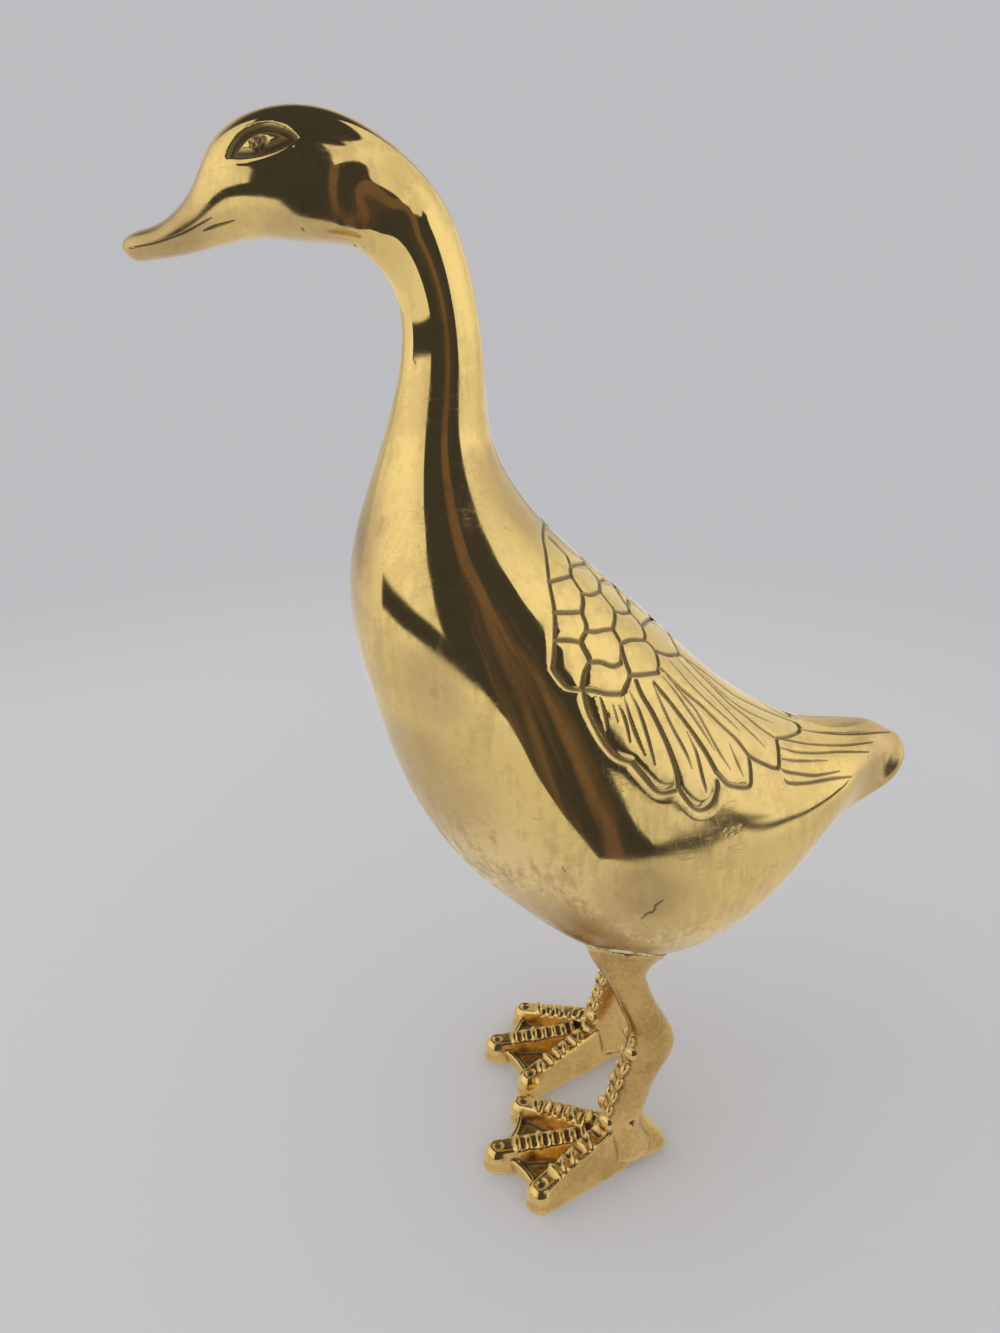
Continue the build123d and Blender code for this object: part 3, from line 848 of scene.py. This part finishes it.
def carve_eye(made, settings):
    """Sinks a groove round the eye's almond, whose raised core has a worn iris."""
    level, near, length = eye_plane(made)
    inside = np.full(len(level), 1.0)
    for sag, side in ((settings.eye_upper, 1), (settings.eye_lower, -1)):
        radius = (length**2 / 4 + sag**2) / (2 * sag)
        centre = np.array([0, side * (sag - radius)])
        inside = np.minimum(inside, radius - np.linalg.norm(level - centre, axis=1))
    sunk = smooth_step(inside, *(at * MM for at in EYE_GROOVE))
    core = smooth_step(inside, *(at * MM for at in EYE_CORE))
    iris_place = np.array([-0.02 * length, 0.2 * settings.eye_upper])
    from_iris = np.linalg.norm(level - iris_place, axis=1)
    iris = (1 - smooth_step(from_iris, 0.7 * settings.eye_iris, settings.eye_iris)) * sunk
    grit = sum(np.sin(level @ np.array(wave[:2]) / MM + wave[2]) for wave in IRIS_GRIT) / len(IRIS_GRIT)
    lid = np.exp(-(((inside + LID_OUTSIDE * MM) / (LID_WIDTH * MM)) ** 2))
    lid = lid * smooth_step(-level[:, 1], *(at * MM for at in LID_FADE))
    lid = lid * (1 - smooth_step(np.abs(level[:, 0]), *(share * length for share in LID_END)))
    relief = settings.eye_depth * (sunk - 0.75 * core + iris * (0.2 + 0.25 * grit)) - LID_HEIGHT * MM * lid
    patina = np.clip(1.15 * sunk * (1 - core) + iris * (0.75 + 0.4 * grit), 0, 1) * near
    attribute = made.data.attributes.new("patina", "FLOAT", "POINT")
    attribute.data.foreach_set("value", patina.astype(np.float32))
    places, normals = mesh_arrays(made.data)
    move_vertices(made.data, places - normals * (relief * near)[:, None])


def mirrored(made, name):
    """The same piece on the duck's other side."""
    mesh = made.data.copy()
    mesh.name = name
    mesh.transform(Matrix.Diagonal((1, -1, 1, 1)))
    mesh.flip_normals()
    return object_from(mesh, name)


def seam_strip(half, settings):
    """Thin plate of filler between the halves, flush with the skin."""
    stations = half.ring_stations()
    skin = half.skin
    count = len(stations)
    hollow = (stations >= skin.stations[FIRST_HOLLOW_RIB]) & (stations <= skin.stations[LAST_HOLLOW_RIB])
    start = skin.seam_turn(stations, settings.seam, 0.0)
    middle = skin.points(stations, np.full(count, math.pi / 2), np.zeros(count))
    strip = bmesh.new()
    for turn, way in ((0.0, 1), (math.pi, -1)):
        outer = skin.points(stations, np.abs(turn - start), np.zeros(count))
        inner = skin.points(stations, np.full(count, turn), np.full(count, settings.wall))
        inner = np.where(hollow[:, None], inner, middle)
        rows = []
        for out, deep in zip(outer, inner):
            corners = [(out, -1), (out, 1), (deep, 1), (deep, -1)]
            rows.append([strip.verts.new((at[0], side * settings.seam / 2, at[2])) for at, side in corners])
        for row, following in zip(rows, rows[1:]):
            for j in range(4):
                quad = [row[j], following[j], following[(j + 1) % 4], row[(j + 1) % 4]]
                strip.faces.new(quad[::way])
        strip.faces.new(rows[0][::way])
        strip.faces.new(rows[-1][::-way])
    bmesh.ops.recalc_face_normals(strip, faces=strip.faces)
    made = object_of_shape(strip, "seam")
    strip.free()
    return made


def node_copy(node, name):
    """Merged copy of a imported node's mesh."""
    copied = bmesh.new()
    copied.from_mesh(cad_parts[node].data)
    bmesh.ops.remove_doubles(copied, verts=copied.verts, dist=MERGE_DISTANCE * MM)
    made = object_of_shape(copied, name)
    copied.free()
    return made


def scute_tree():
    """Sets a row of scutes on a leg, from a top to a foot point, cast onto it along a ray."""
    vectors = dict.fromkeys(("Top", "Foot", "Ray", "Size"), "Vector")
    tree, given = new_tree("Scutes", **vectors, Pitch="Float", Stagger="Float", Material="Material")
    line = tree.node("GeometryNodeCurvePrimitiveLine", Start=given.top, End=given.foot)
    points = tree.node("GeometryNodeCurveToPoints", "Points", mode="LENGTH", Curve=line, Length=given.pitch)
    index = tree.node("GeometryNodeInputIndex")
    side = index % 2.0 - 0.5
    shift = tree.node("ShaderNodeCombineXYZ", Y=side * given.stagger)
    shifted = tree.node("GeometryNodeSetPosition", Geometry=points, Offset=shift)
    hit = tree.ray(given.geometry, tree.node("GeometryNodeInputPosition"), given.ray, SCUTE_REACH * MM)
    align = "FunctionNodeAlignRotationToVector"
    upright = tree.node(align, axis="Z", Vector=hit.other("Hit Normal"))
    along = tree.vector("SUBTRACT", given.foot, given.top)
    turn = tree.node(align, axis="X", pivot_axis="Z", Rotation=upright, Vector=along)
    seated = tree.node("GeometryNodeSetPosition", Geometry=shifted, Position=hit)
    spread = {"Min": (0.85, 0.85, 0.75), "Max": (1.12, 1.12, 1.2)}
    uneven = tree.node("FunctionNodeRandomValue", "Value", data_type="FLOAT_VECTOR", **spread, Seed=5)
    size = tree.vector("MULTIPLY", uneven, given.size)
    scute = tree.node("GeometryNodeMeshIcoSphere", "Mesh", Radius=1.0, Subdivisions=3)
    form = {"Instance": scute, "Rotation": turn, "Scale": size}
    scutes = tree.node("GeometryNodeInstanceOnPoints", Points=seated, **form)
    joined = tree.node("GeometryNodeJoinGeometry", Geometry=scutes)
    feed(joined.socket.node, Geometry=given.geometry)
    return close_dressed(tree, joined, given.material)


def age_tree():
    """Roughens a casting's skin, and marks its hollows for patina and its edges for wear."""
    floats = dict.fromkeys(("Hollow_Depth", "Skin_Scale", "Skin_Depth"), "Float")
    tree, given = new_tree("Age casting", Spread="Int", **floats, Material="Material")
    place = tree.node("GeometryNodeInputPosition")
    normal = tree.node("GeometryNodeInputNormal", "Normal")
    blur = {"Value": place, "Iterations": given.spread}
    blurred = tree.node("GeometryNodeBlurAttribute", data_type="FLOAT_VECTOR", **blur)
    hollow = tree.vector("DOT_PRODUCT", tree.vector("SUBTRACT", blurred, place), normal, "Value")
    depth = given.hollow_depth
    aged = tree.store(given.geometry, "patina", tree.ramp(hollow, depth * 0.2, depth * 1.2))
    aged = tree.store(aged, "wear", tree.ramp(0 - hollow, depth * 0.2, depth))
    grain = tree.noise(place, given.skin_scale, 3.0) - 0.5
    return close_dressed(tree, tree.raised(aged, grain * given.skin_depth), given.material)


def rounded(made, voxel, iterations):
    """Makes a casting's mesh one soft skin."""
    remesh = made.modifiers.new("round", "REMESH")
    remesh.mode = "VOXEL"
    remesh.voxel_size = voxel
    smooth = made.modifiers.new("smooth", "SMOOTH")
    smooth.factor = 0.5
    smooth.iterations = iterations
    as_plain_mesh(made)


def dent(made, centres, radius, depth):
    """Presses round dents into a mesh."""
    places, normals = mesh_arrays(made.data)
    for centre in centres:
        distance = np.linalg.norm(places - np.array(centre), axis=1)
        press = depth * (1 - smooth_step(distance, DENT_FLOOR * radius, radius))
        places -= normals * press[:, None]
    move_vertices(made.data, places)


def toe_place(leg, toe, reach, height):
    """A point over a toe, at a reach from the leg along it."""
    outward = 1 if leg.stance > 0 else -1
    x = FOOT_X - leg.forward - reach * math.cos(math.radians(toe.splay))
    y = leg.stance + outward * reach * math.sin(math.radians(toe.splay))
    return Vector((x, y, height)) * MM


def claw_places(leg):
    """Tops of the knobs at the ends of a leg's toes."""
    return [toe_place(leg, toe, toe.length - TOE_END, KNOB_TOP) for toe in TOES]


def feather(made, body, rim, sink):
    """Thins a bead from its rim outwards, so that it runs out on the belly."""
    places, _ = mesh_arrays(made.data)
    low, high = places.min(axis=0), places.max(axis=0)
    level = ((2 * places - low - high) / (high - low))[:, :2]
    outer = smooth_step(np.linalg.norm(level, axis=1), rim, 1.0)
    seats = []
    for place in places:
        _, seat, normal, _ = body.closest_point_on_mesh(Vector(place))
        seats.append(seat - normal * sink)
    move_vertices(made.data, places + (np.array(seats) - places) * outer[:, None])


def keep_in_box(made, node):
    """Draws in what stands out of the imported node's box."""
    low, high = (np.array(corner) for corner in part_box(node))
    places, _ = mesh_arrays(made.data)
    move_vertices(made.data, np.clip(places, low, high))


def soft_sines(degrees):
    """Sines of an elevation, less and plus the soft edge."""
    return [math.sin(math.radians(degrees + s * SOFT_EDGE)) for s in (-1, 1)]


def shade(made):
    """Smooth shading."""
    made.data.polygons.foreach_set("use_smooth", [True] * len(made.data.polygons))


def new_material(name):
    """An empty node material: its tree and its Principled shader."""
    material = bpy.data.materials.new(name)
    material.use_nodes = True
    tree = Tree(material.node_tree)
    shader = material.node_tree.nodes["Principled BSDF"]
    return material, tree, shader


def smudged(tree, place, haze, torn):
    """Strengths of the brown film and of the haze with the smudges in it, alike on both sides."""
    across, side, up = tree.parts(place)
    left = tree.node("ShaderNodeCombineXYZ", X=across, Y=side.size(), Z=up)
    film = haze * 0
    for smudge in SMUDGES:
        centre = Vector((smudge.x, smudge.y, smudge.z)) * MM
        radius = smudge.radius * MM
        distance = tree.vector("DISTANCE", left, centre, "Value") + torn
        mark = 1 - tree.ramp(distance, SMUDGE_CORE * radius, radius)
        film = film.most(mark * smudge.film)
        haze = haze.most(mark * smudge.haze)
    return film, haze


def scratches(tree, place):
    """Patches of fine scratches, rubbed upright and wiped along."""
    patch = tree.ramp(tree.noise(place, PATCHES, 2.0), *PATCHED)
    rubbed, wiped = (tree.ramp(tree.noise(place, each, 2.0), *SCRATCHED) for each in (RUBBING, WIPING))
    return rubbed.most(wiped) * patch


def polished_material(settings):
    """Mirror-polished brass: hazy and stained on the breast and belly, brown in its cuts."""
    material, tree, shader = new_material("polished_brass")
    place = tree.place()
    across, _, up = tree.parts(place)
    cloud = tree.noise(place, CLOUDS, 5.0)
    fleck = tree.noise(place, FLECKS, 4.0, FLECK_ROUGHNESS)
    brush = tree.noise(place, BRUSHING, 3.0)
    streak = tree.noise(place, STREAKS, 4.0)
    line = up + across * HAZE_SLOPE + (cloud - 0.5) * HAZE_WANDER
    torn = (cloud - 0.5) * CLOUD_TEAR + (streak - 0.5) * STREAK_TEAR + (fleck - 0.5) * FLECK_TEAR
    film, haze = smudged(tree, place, 1 - tree.ramp(line, HAZE_FULL, HAZE_NONE), torn)
    mottle = tree.ramp(cloud * 0.45 + streak * 0.3 + fleck * 0.25, *MOTTLED) * (0.5 + haze * 0.5)
    wash = tree.noise(place, WASHES, 3.0) * 0.75 + fleck * 0.25
    mottle = mottle.most(tree.ramp(wash, *WASHED) * (0.1 + haze * 0.5))
    scratch = scratches(tree, place)
    cells = tree.node("ShaderNodeTexVoronoi", "Distance", Vector=place, Scale=SPECKS)
    speck = (1 - tree.ramp(cells, *SPECK_EDGE)) * tree.ramp(cloud, *SPECKLED) * (0.2 + haze * 0.8)
    colour = tree.mix(haze * 0.7, settings.brass, settings.hazed)
    colour = tree.mix(film, colour, settings.film)
    colour = tree.mix((mottle * 0.75).most(scratch * 0.45), colour, settings.tarnish)
    stain = (tree.mark("patina") * (0.75 + cloud * 0.4)).most(speck * 0.6).least(1)
    colour = tree.mix(stain, colour, settings.patina)
    rough = settings.polished_roughness + haze * 0.2 + mottle * 0.1 + scratch * 0.08 + (brush - 0.5) * 0.05
    rough = (rough + stain * 0.3).most(0.03)
    bump = tree.bump(brush * (0.1 + haze * 0.5) + fleck * (0.05 + haze * 0.6), 0.06)
    feed(shader, Base_Color=colour, Roughness=rough, Metallic=1 - stain * 0.55, Normal=bump)
    return material


def cast_material(settings):
    """Satin cast brass: dirt in its hollows, bright on its worn edges."""
    material, tree, shader = new_material("cast_brass")
    place = tree.place()
    wear = tree.mark("wear")
    cloud = tree.noise(place, CAST_CLOUDS, 5.0)
    fleck = tree.noise(place, CAST_FLECKS, 4.0, FLECK_ROUGHNESS)
    # Browner higher up the legs, from one height to another.
    up_leg = tree.ramp(tree.parts(place)[2], *BROWNER_UP_LEG)
    blotch = tree.ramp(cloud * 0.6 + fleck * 0.4, *BLOTCHED) * 0.7
    colour = tree.mix(blotch + up_leg * 0.4, settings.cast, settings.cast_tarnish)
    colour = tree.mix(wear * 0.6, colour, settings.brass)
    stain = (tree.mark("patina") * (0.8 + fleck * 0.4)).least(1)
    colour = tree.mix(stain, colour, settings.patina)
    rough = settings.cast_roughness + blotch * 0.12 - wear * 0.08 + stain * 0.3
    bump = tree.bump(fleck, 0.2)
    feed(shader, Base_Color=colour, Roughness=rough, Metallic=1 - stain * 0.6, Normal=bump)
    return material


def filler_material(settings):
    """Brazing filler: pale where it was dressed, stained brown by flux."""
    material, tree, shader = new_material("filler")
    place = tree.place()
    cloud = tree.noise(place, FILLER_CLOUDS, 5.0)
    colour = tree.mix(tree.ramp(cloud, *FLUXED), settings.filler, settings.cast_tarnish)
    bump = tree.bump(tree.noise(place, FILLER_GRAIN, 3.0), 0.3)
    feed(shader, Base_Color=colour, Roughness=0.3 + cloud * 0.3, Metallic=0.85, Normal=bump)
    return material


def as_length(name, description, millimetres):
    """A length that can be set."""
    default = millimetres * MM
    return bpy.props.FloatProperty(name=name, description=description, default=default, unit="LENGTH")


def as_count(name, description, default):
    """A number of faces that can be set."""
    return bpy.props.IntProperty(name=name, description=description, default=default, subtype="UNSIGNED")


def as_share(name, description, default):
    """A share that can be set."""
    return bpy.props.FloatProperty(name=name, description=description, default=default, subtype="FACTOR")


def as_colour(name, description, *default):
    """A colour that can be set."""
    return bpy.props.FloatVectorProperty(name=name, description=description, default=default, subtype="COLOR")


class DuckSettings(bpy.types.PropertyGroup):
    """Sizes of the body and its cuts."""

    wall: as_length("Wall", "Thickness of the hollow casting", 3)
    seam: as_length("Seam", "Width of the filler between the halves", 0.4)
    rings: as_count("Rings", "Rings of faces along the body", 290)
    around: as_count("Around", "Faces from back to keel", 88)
    around_inside: as_count("Around inside", "Faces from back to keel in the hollow", 20)
    groove: as_share("Groove", "Depth of a cut as a share of its half width", 0.75)
    shoulder: as_length("Shoulder", "How far beside a cut the skin is eased", 2.2)
    shoulder_depth: as_length("Shoulder depth", "How far the skin is eased at a cut", 0.22)
    eye_upper: as_length("Upper lid", "Height of the upper lid over the eye's corners", 4.6)
    eye_lower: as_length("Lower lid", "Depth of the lower lid under the eye's corners", 1.8)
    eye_iris: as_length("Iris", "Radius of the worn iris", 1.9)
    eye_depth: as_length("Eye depth", "Depth of the eye's hollow", 1.0)
    wave: as_length("Wave", "Depth of the waves that polishing leaves", 0.35)
    scute_pitch: as_length("Scute pitch", "Distance between scutes down the leg", 2.3)
    rung_pitch: as_length("Rung pitch", "Distance between scutes along a toe", 3.0)
    voxel: as_length("Leg grid", "Size of the grid that rounds the cast legs", 0.32)


class BrassSettings(bpy.types.PropertyGroup):
    """Colours and finish of the metal."""

    brass: as_colour("Brass", "Clean brass", 0.88, 0.64, 0.23)
    hazed: as_colour("Hazed", "Polished brass that has dulled", 0.93, 0.70, 0.34)
    film: as_colour("Film", "Brown film on polished brass", 0.38, 0.245, 0.10)
    tarnish: as_colour("Tarnish", "Stains on polished brass", 0.50, 0.33, 0.14)
    cast: as_colour("Cast", "Brass of the legs", 0.74, 0.485, 0.17)
    cast_tarnish: as_colour("Cast tarnish", "Stains on the legs", 0.44, 0.27, 0.09)
    patina: as_colour("Patina", "Brown in cuts and hollows", 0.07, 0.043, 0.02)
    filler: as_colour("Filler", "Brazing filler", 0.80, 0.74, 0.58)
    polished_roughness: as_share("Polished", "Roughness of the polished body", 0.055)
    cast_roughness: as_share("Cast", "Roughness of the cast legs", 0.2)


class StageSettings(bpy.types.PropertyGroup):
    """Floor, background and light."""

    floor: as_colour("Floor", "Pale floor", 0.62, 0.615, 0.62)
    background: as_colour("Background", "What shows behind", 0.51, 0.51, 0.53)
    room: as_colour("Room", "Dark side that the metal mirrors", 0.05, 0.052, 0.07)
    panel: as_colour("Panel", "Brown of the panel that the metal mirrors", 0.17, 0.115, 0.10)
    daylight: as_share("Daylight", "Brightness of the pale sides that the metal mirrors", 1.04)


class DUCK_OT_body(bpy.types.Operator):
    """Makes the two polished half castings with their chased feathers, and the seam between them"""

    bl_idname = "duck.body"
    bl_label = "Body"

    def execute(self, context):
        settings = context.scene.duck
        polished = polished_material(context.scene.duck_brass)
        half = HalfBody(settings)
        blank = half.to_object("blank")
        drawn = drawn_lines()
        reach = 2 * VIEW_DISTANCE
        add_tree(drawn, lay_lines_tree(), Body=blank, Viewpoint=VIEWPOINT, Step=LINE_STEP * MM, Reach=reach)
        laid = object_from(modified_mesh(drawn), "laid_lines")
        marks = [vertex.co.copy() for vertex in laid.data.vertices]
        found, eye, _, _ = blank.ray_cast(VIEWPOINT, sight(EYE_CENTRE))
        if not found or not marks:
            raise RuntimeError("a chased line misses the body")
        grid = EYE_GRID * MM
        marks += [eye + Vector((x, 0, z)) for x in grid for z in grid if abs(z) < EYE_GRID_HEIGHT * MM]
        half.refine(marks, [reach * MM for reach in FINE_REACHES])
        left = half.to_object("left_body")
        found, nape, _, _ = left.ray_cast(VIEWPOINT, sight(NAPE_HOLLOW))
        if not found:
            raise RuntimeError("the hollow behind the cheek misses the head")
        dent(left, [nape], NAPE_RADIUS * MM, NAPE_DEPTH * MM)
        carve_eye(left, settings)
        cuts = {"Lines": laid, "Groove_Depth": settings.groove}
        shoulders = {"Shoulder_Reach": settings.shoulder, "Shoulder_Depth": settings.shoulder_depth}
        waves = {"Wave_Scale": WAVES, "Wave_Depth": settings.wave}
        add_tree(left, chase_tree(), **cuts, **shoulders, **waves, Material=polished)
        as_plain_mesh(left)
        seam = seam_strip(half, settings)
        seam.data.materials.append(polished)
        half.mesh.free()
        for spare in (blank, drawn, laid):
            bpy.data.objects.remove(spare)
        right = mirrored(left, "right_body")
        pieces = ((left, "left_body_shell"), (right, "right_body_shell"), (seam, "seam_braze"))
        for made, node in pieces:
            keep_in_box(made, node)
            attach(made, BODY)
            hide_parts(node)
        return {"FINISHED"}


class DUCK_OT_legs(bpy.types.Operator):
    """Makes the two cast legs"""

    bl_idname = "duck.legs"
    bl_label = "Legs"

    def execute(self, context):
        settings = context.scene.duck
        cast = cast_material(context.scene.duck_brass)
        scutes = scute_tree()
        ageing = age_tree()
        for leg in LEGS:
            made = node_copy(leg.node, leg.node + "_cast")
            top, foot = (Vector((0, leg.stance, height)) * MM for height in (SHANK_TOP, SHANK_FOOT))
            shank = {"Top": top, "Foot": foot, "Ray": Vector((1, 0, 0)), "Size": SHANK_SCUTE * MM}
            row = {"Pitch": settings.scute_pitch, "Stagger": SHANK_STAGGER * MM}
            add_tree(made, scutes, **shank, **row, Material=cast)
            pitch = settings.rung_pitch / MM
            row = {"Pitch": settings.rung_pitch, "Stagger": 0.0}
            for toe in TOES:
                last = RUNG_START + int((toe.length - RUNG_START - RUNG_END) / pitch) * pitch
                top, foot = (toe_place(leg, toe, reach, RUNG_ABOVE) for reach in (RUNG_START, last))
                rungs = {"Top": top, "Foot": foot, "Ray": Vector((0, 0, -1)), "Size": RUNG_SCUTE * MM}
                add_tree(made, scutes, **rungs, **row, Material=cast)
            rounded(made, settings.voxel, LEG_ROUNDING)
            dent(made, claw_places(leg), CLAW_RADIUS * MM, CLAW_DEPTH * MM)
            skin = {"Skin_Scale": 420.0, "Skin_Depth": 0.12 * MM}
            add_tree(made, ageing, Spread=24, Hollow_Depth=0.22 * MM, **skin, Material=cast)
            as_plain_mesh(made)
            shade(made)
            keep_in_box(made, leg.node)
            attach(made, BODY)
            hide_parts(leg.node)
        return {"FINISHED"}


class DUCK_OT_braze(bpy.types.Operator):
    """Gives the beads of filler round the thighs their finish"""

    bl_idname = "duck.braze"
    bl_label = "Braze"

    def execute(self, context):
        filler = filler_material(context.scene.duck_brass)
        ageing = age_tree()
        for node, body in (("left_leg_braze", "left_body"), ("right_leg_braze", "right_body")):
            made = node_copy(node, node + "_bead")
            rounded(made, BEAD_GRID * MM, BEAD_ROUNDING)
            feather(made, bpy.data.objects[body], BEAD_RIM, BEAD_SINK * MM)
            skin = {"Skin_Scale": 300.0, "Skin_Depth": 0.3 * MM}
            add_tree(made, ageing, Spread=12, Hollow_Depth=0.2 * MM, **skin, Material=filler)
            as_plain_mesh(made)
            shade(made)
            keep_in_box(made, node)
            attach(made, BODY)
            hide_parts(node)
        return {"FINISHED"}


class DUCK_OT_stage(bpy.types.Operator):
    """Makes the floor, the light and the camera"""

    bl_idname = "duck.stage"
    bl_label = "Stage"

    def execute(self, context):
        settings = context.scene.duck_stage
        self.add_floor(settings)
        self.add_panel(settings)
        self.add_world(settings)
        self.add_lamps()
        self.add_camera(context.scene)
        context.scene.view_settings.view_transform = "Standard"
        return {"FINISHED"}

    def add_floor(self, settings):
        """Pale round floor that fades into the background; the metal mirrors it mostly as a glow brighter than
        the lit floor, a painted reflection.
        """
        bpy.ops.mesh.primitive_circle_add(vertices=FLOOR_SIDES, radius=FLOOR_RADIUS, fill_type="NGON")
        floor = bpy.context.object
        floor.name = "floor"
        material, tree, shader = new_material("floor")
        place = tree.place()
        far = tree.ramp(tree.vector("LENGTH", place, (0, 0, 0), "Value"), FLOOR_RADIUS / 2, FLOOR_RADIUS)
        weave = tree.bump(tree.noise(place, WEAVE, 2.0), 0.1)
        feed(shader, Base_Color=(*settings.floor, 1), Roughness=0.95, Specular_IOR_Level=0.1, Normal=weave)
        camera = tree.node("ShaderNodeLightPath", "Is Camera Ray")
        glossy = camera.other("Is Glossy Ray")
        colour = (*settings.background, 1)
        # Painted reflection: for the metal's rays the floor is mostly this glow, half again as bright as the
        # background, brighter than the lit floor and with little of its shadow.
        glow = tree.node("ShaderNodeEmission", Color=colour, Strength=1 + glossy * 0.5)
        share = far * camera + (0.6 + far * 0.4) * glossy
        shaders = {"Shader": Value(shader.outputs[0]), "Shader_001": glow}
        lit = tree.node("ShaderNodeMixShader", Fac=share, **shaders)
        feed(material.node_tree.nodes["Material Output"], Surface=lit)
        floor.data.materials.append(material)

    def add_panel(self, settings):
        """Dark upright panel in front, which only the metal mirrors, for contrast."""
        shape = bmesh.new()
        shape.faces.new([shape.verts.new(Vector((x, PANEL_Y, z)) * MM) for x, z in PANEL_OUTLINE])
        panel = object_of_shape(shape, "dark_panel")
        shape.free()
        material, tree, shader = new_material("dark_panel")
        place = tree.place()
        across = tree.parts(place)[0]
        streaks = tree.noise(place, PANEL_STREAKS, 3.0)
        brown = tree.ramp(streaks, 0.42, 0.6) * (1 - tree.ramp(across.size(), 0.03, 0.05))
        colour = tree.mix(brown, settings.room, settings.panel)
        glow = tree.node("ShaderNodeEmission", Color=colour, Strength=1.0)
        feed(material.node_tree.nodes["Material Output"], Surface=glow)
        material.node_tree.nodes.remove(shader)
        panel.data.materials.append(material)
        panel.visible_camera = False
        panel.visible_diffuse = False
        panel.visible_shadow = False

    def add_world(self, settings):
        """Soft boxes at both sides for the metal to mirror, over a pale cloth, in a dim room."""
        world = bpy.data.worlds.new("studio")
        world.use_nodes = True
        bpy.context.scene.world = world
        tree = Tree(world.node_tree)
        across, back, up = tree.parts(tree.node("ShaderNodeTexCoord", "Generated"))
        level = ((across * across + back * back) ** 0.5).most(0.001)
        pale = tree.ramp(back, *WALL_FOOT) * (1 - tree.ramp(up, *WALL_TOP)) * WALL_LEVEL
        towards = across.size() * BOX_MIDDLE.x + back * BOX_MIDDLE.y + up * BOX_MIDDLE.z
        middle = tree.ramp(towards, *BOX_GLOW)
        at_tail = tree.ramp(back, *TAIL_FRONT) * tree.ramp(across, *TAIL_SIDE)
        behind = tree.ramp(back, *REAR).most(at_tail)
        for box in SOFT_BOXES:
            turn = math.radians(box.azimuth)
            facing = (across * math.sin(turn) - back * math.cos(turn)) / level
            wide, narrow = (math.cos(math.radians(box.half_width + s * SOFT_EDGE)) for s in (1, -1))
            side = tree.ramp(facing, wide, narrow)
            over_foot = tree.ramp(up + behind, *soft_sines(box.foot))
            under_top = 1 - tree.ramp(up, *soft_sines(box.top))
            pale = pale.most(side * over_foot * under_top * (BOX_LEVEL + middle * (1 - BOX_LEVEL)))
            cloth = tree.ramp(facing, *CLOTH_SIDE) * (1 - tree.ramp(up, *soft_sines(box.cloth)))
            pale = pale.most(cloth * CLOTH_LEVEL)
        bright = settings.daylight
        studio = tree.mix(pale, settings.room, (bright, bright, bright * DAYLIGHT_BLUE))
        camera = tree.node("ShaderNodeLightPath", "Is Camera Ray")
        seen = tree.mix(camera.other("Is Glossy Ray"), SKY, studio)
        seen = tree.mix(camera, seen, settings.background)
        feed(world.node_tree.nodes["Background"], Color=seen)

    def add_lamps(self):
        """Soft light from the upper left."""
        lamp = bpy.data.lights.new("key", "AREA")
        lamp.shape = "RECTANGLE"
        lamp.size, lamp.size_y = LAMP_SIZE
        lamp.energy = LAMP_POWER
        key = bpy.data.objects.new("key", lamp)
        key.location = LAMP_PLACE
        key.rotation_euler = (-LAMP_PLACE).to_track_quat("-Z", "Y").to_euler()
        key.visible_glossy = False
        bpy.context.scene.collection.objects.link(key)

    def add_camera(self, scene):
        """Camera at the photograph's viewpoint."""
        lens = bpy.data.cameras.new("camera")
        lens.sensor_width = SENSOR
        lens.lens = SENSOR * FOCAL_PIXELS / IMAGE_HEIGHT
        lens.clip_start = 0.01
        camera = bpy.data.objects.new("camera", lens)
        camera.location = VIEWPOINT
        camera.rotation_mode = "QUATERNION"
        camera.rotation_quaternion = (-VIEW_BACK).to_track_quat("-Z", "Y")
        scene.collection.objects.link(camera)
        scene.camera = camera


class DUCK_PT_panel(bpy.types.Panel):
    """Sidebar panel with the duck's pieces"""

    bl_label = "Duck"
    bl_idname = "DUCK_PT_panel"
    bl_space_type = "VIEW_3D"
    bl_region_type = "UI"
    bl_category = "Duck"

    def draw(self, context):
        for settings in (context.scene.duck, context.scene.duck_brass, context.scene.duck_stage):
            for name in settings.bl_rna.properties.keys():
                if name not in ("rna_type", "name"):
                    self.layout.prop(settings, name)
        for operator in OPERATORS:
            self.layout.operator(operator.bl_idname)


SETTINGS = {"duck": DuckSettings, "duck_brass": BrassSettings, "duck_stage": StageSettings}
OPERATORS = [DUCK_OT_body, DUCK_OT_legs, DUCK_OT_braze, DUCK_OT_stage]


def register():
    for each in [*SETTINGS.values(), *OPERATORS, DUCK_PT_panel]:
        bpy.utils.register_class(each)
    for name, group in SETTINGS.items():
        setattr(bpy.types.Scene, name, bpy.props.PointerProperty(type=group))


def unregister():
    for name in SETTINGS:
        delattr(bpy.types.Scene, name)
    for each in [DUCK_PT_panel, *reversed(OPERATORS), *SETTINGS.values()]:
        bpy.utils.unregister_class(each)


def main():
    """Builds the duck."""
    register()
    bpy.ops.duck.body()
    bpy.ops.duck.legs()
    bpy.ops.duck.braze()
    bpy.ops.duck.stage()


if __name__ == "__main__":
    main()
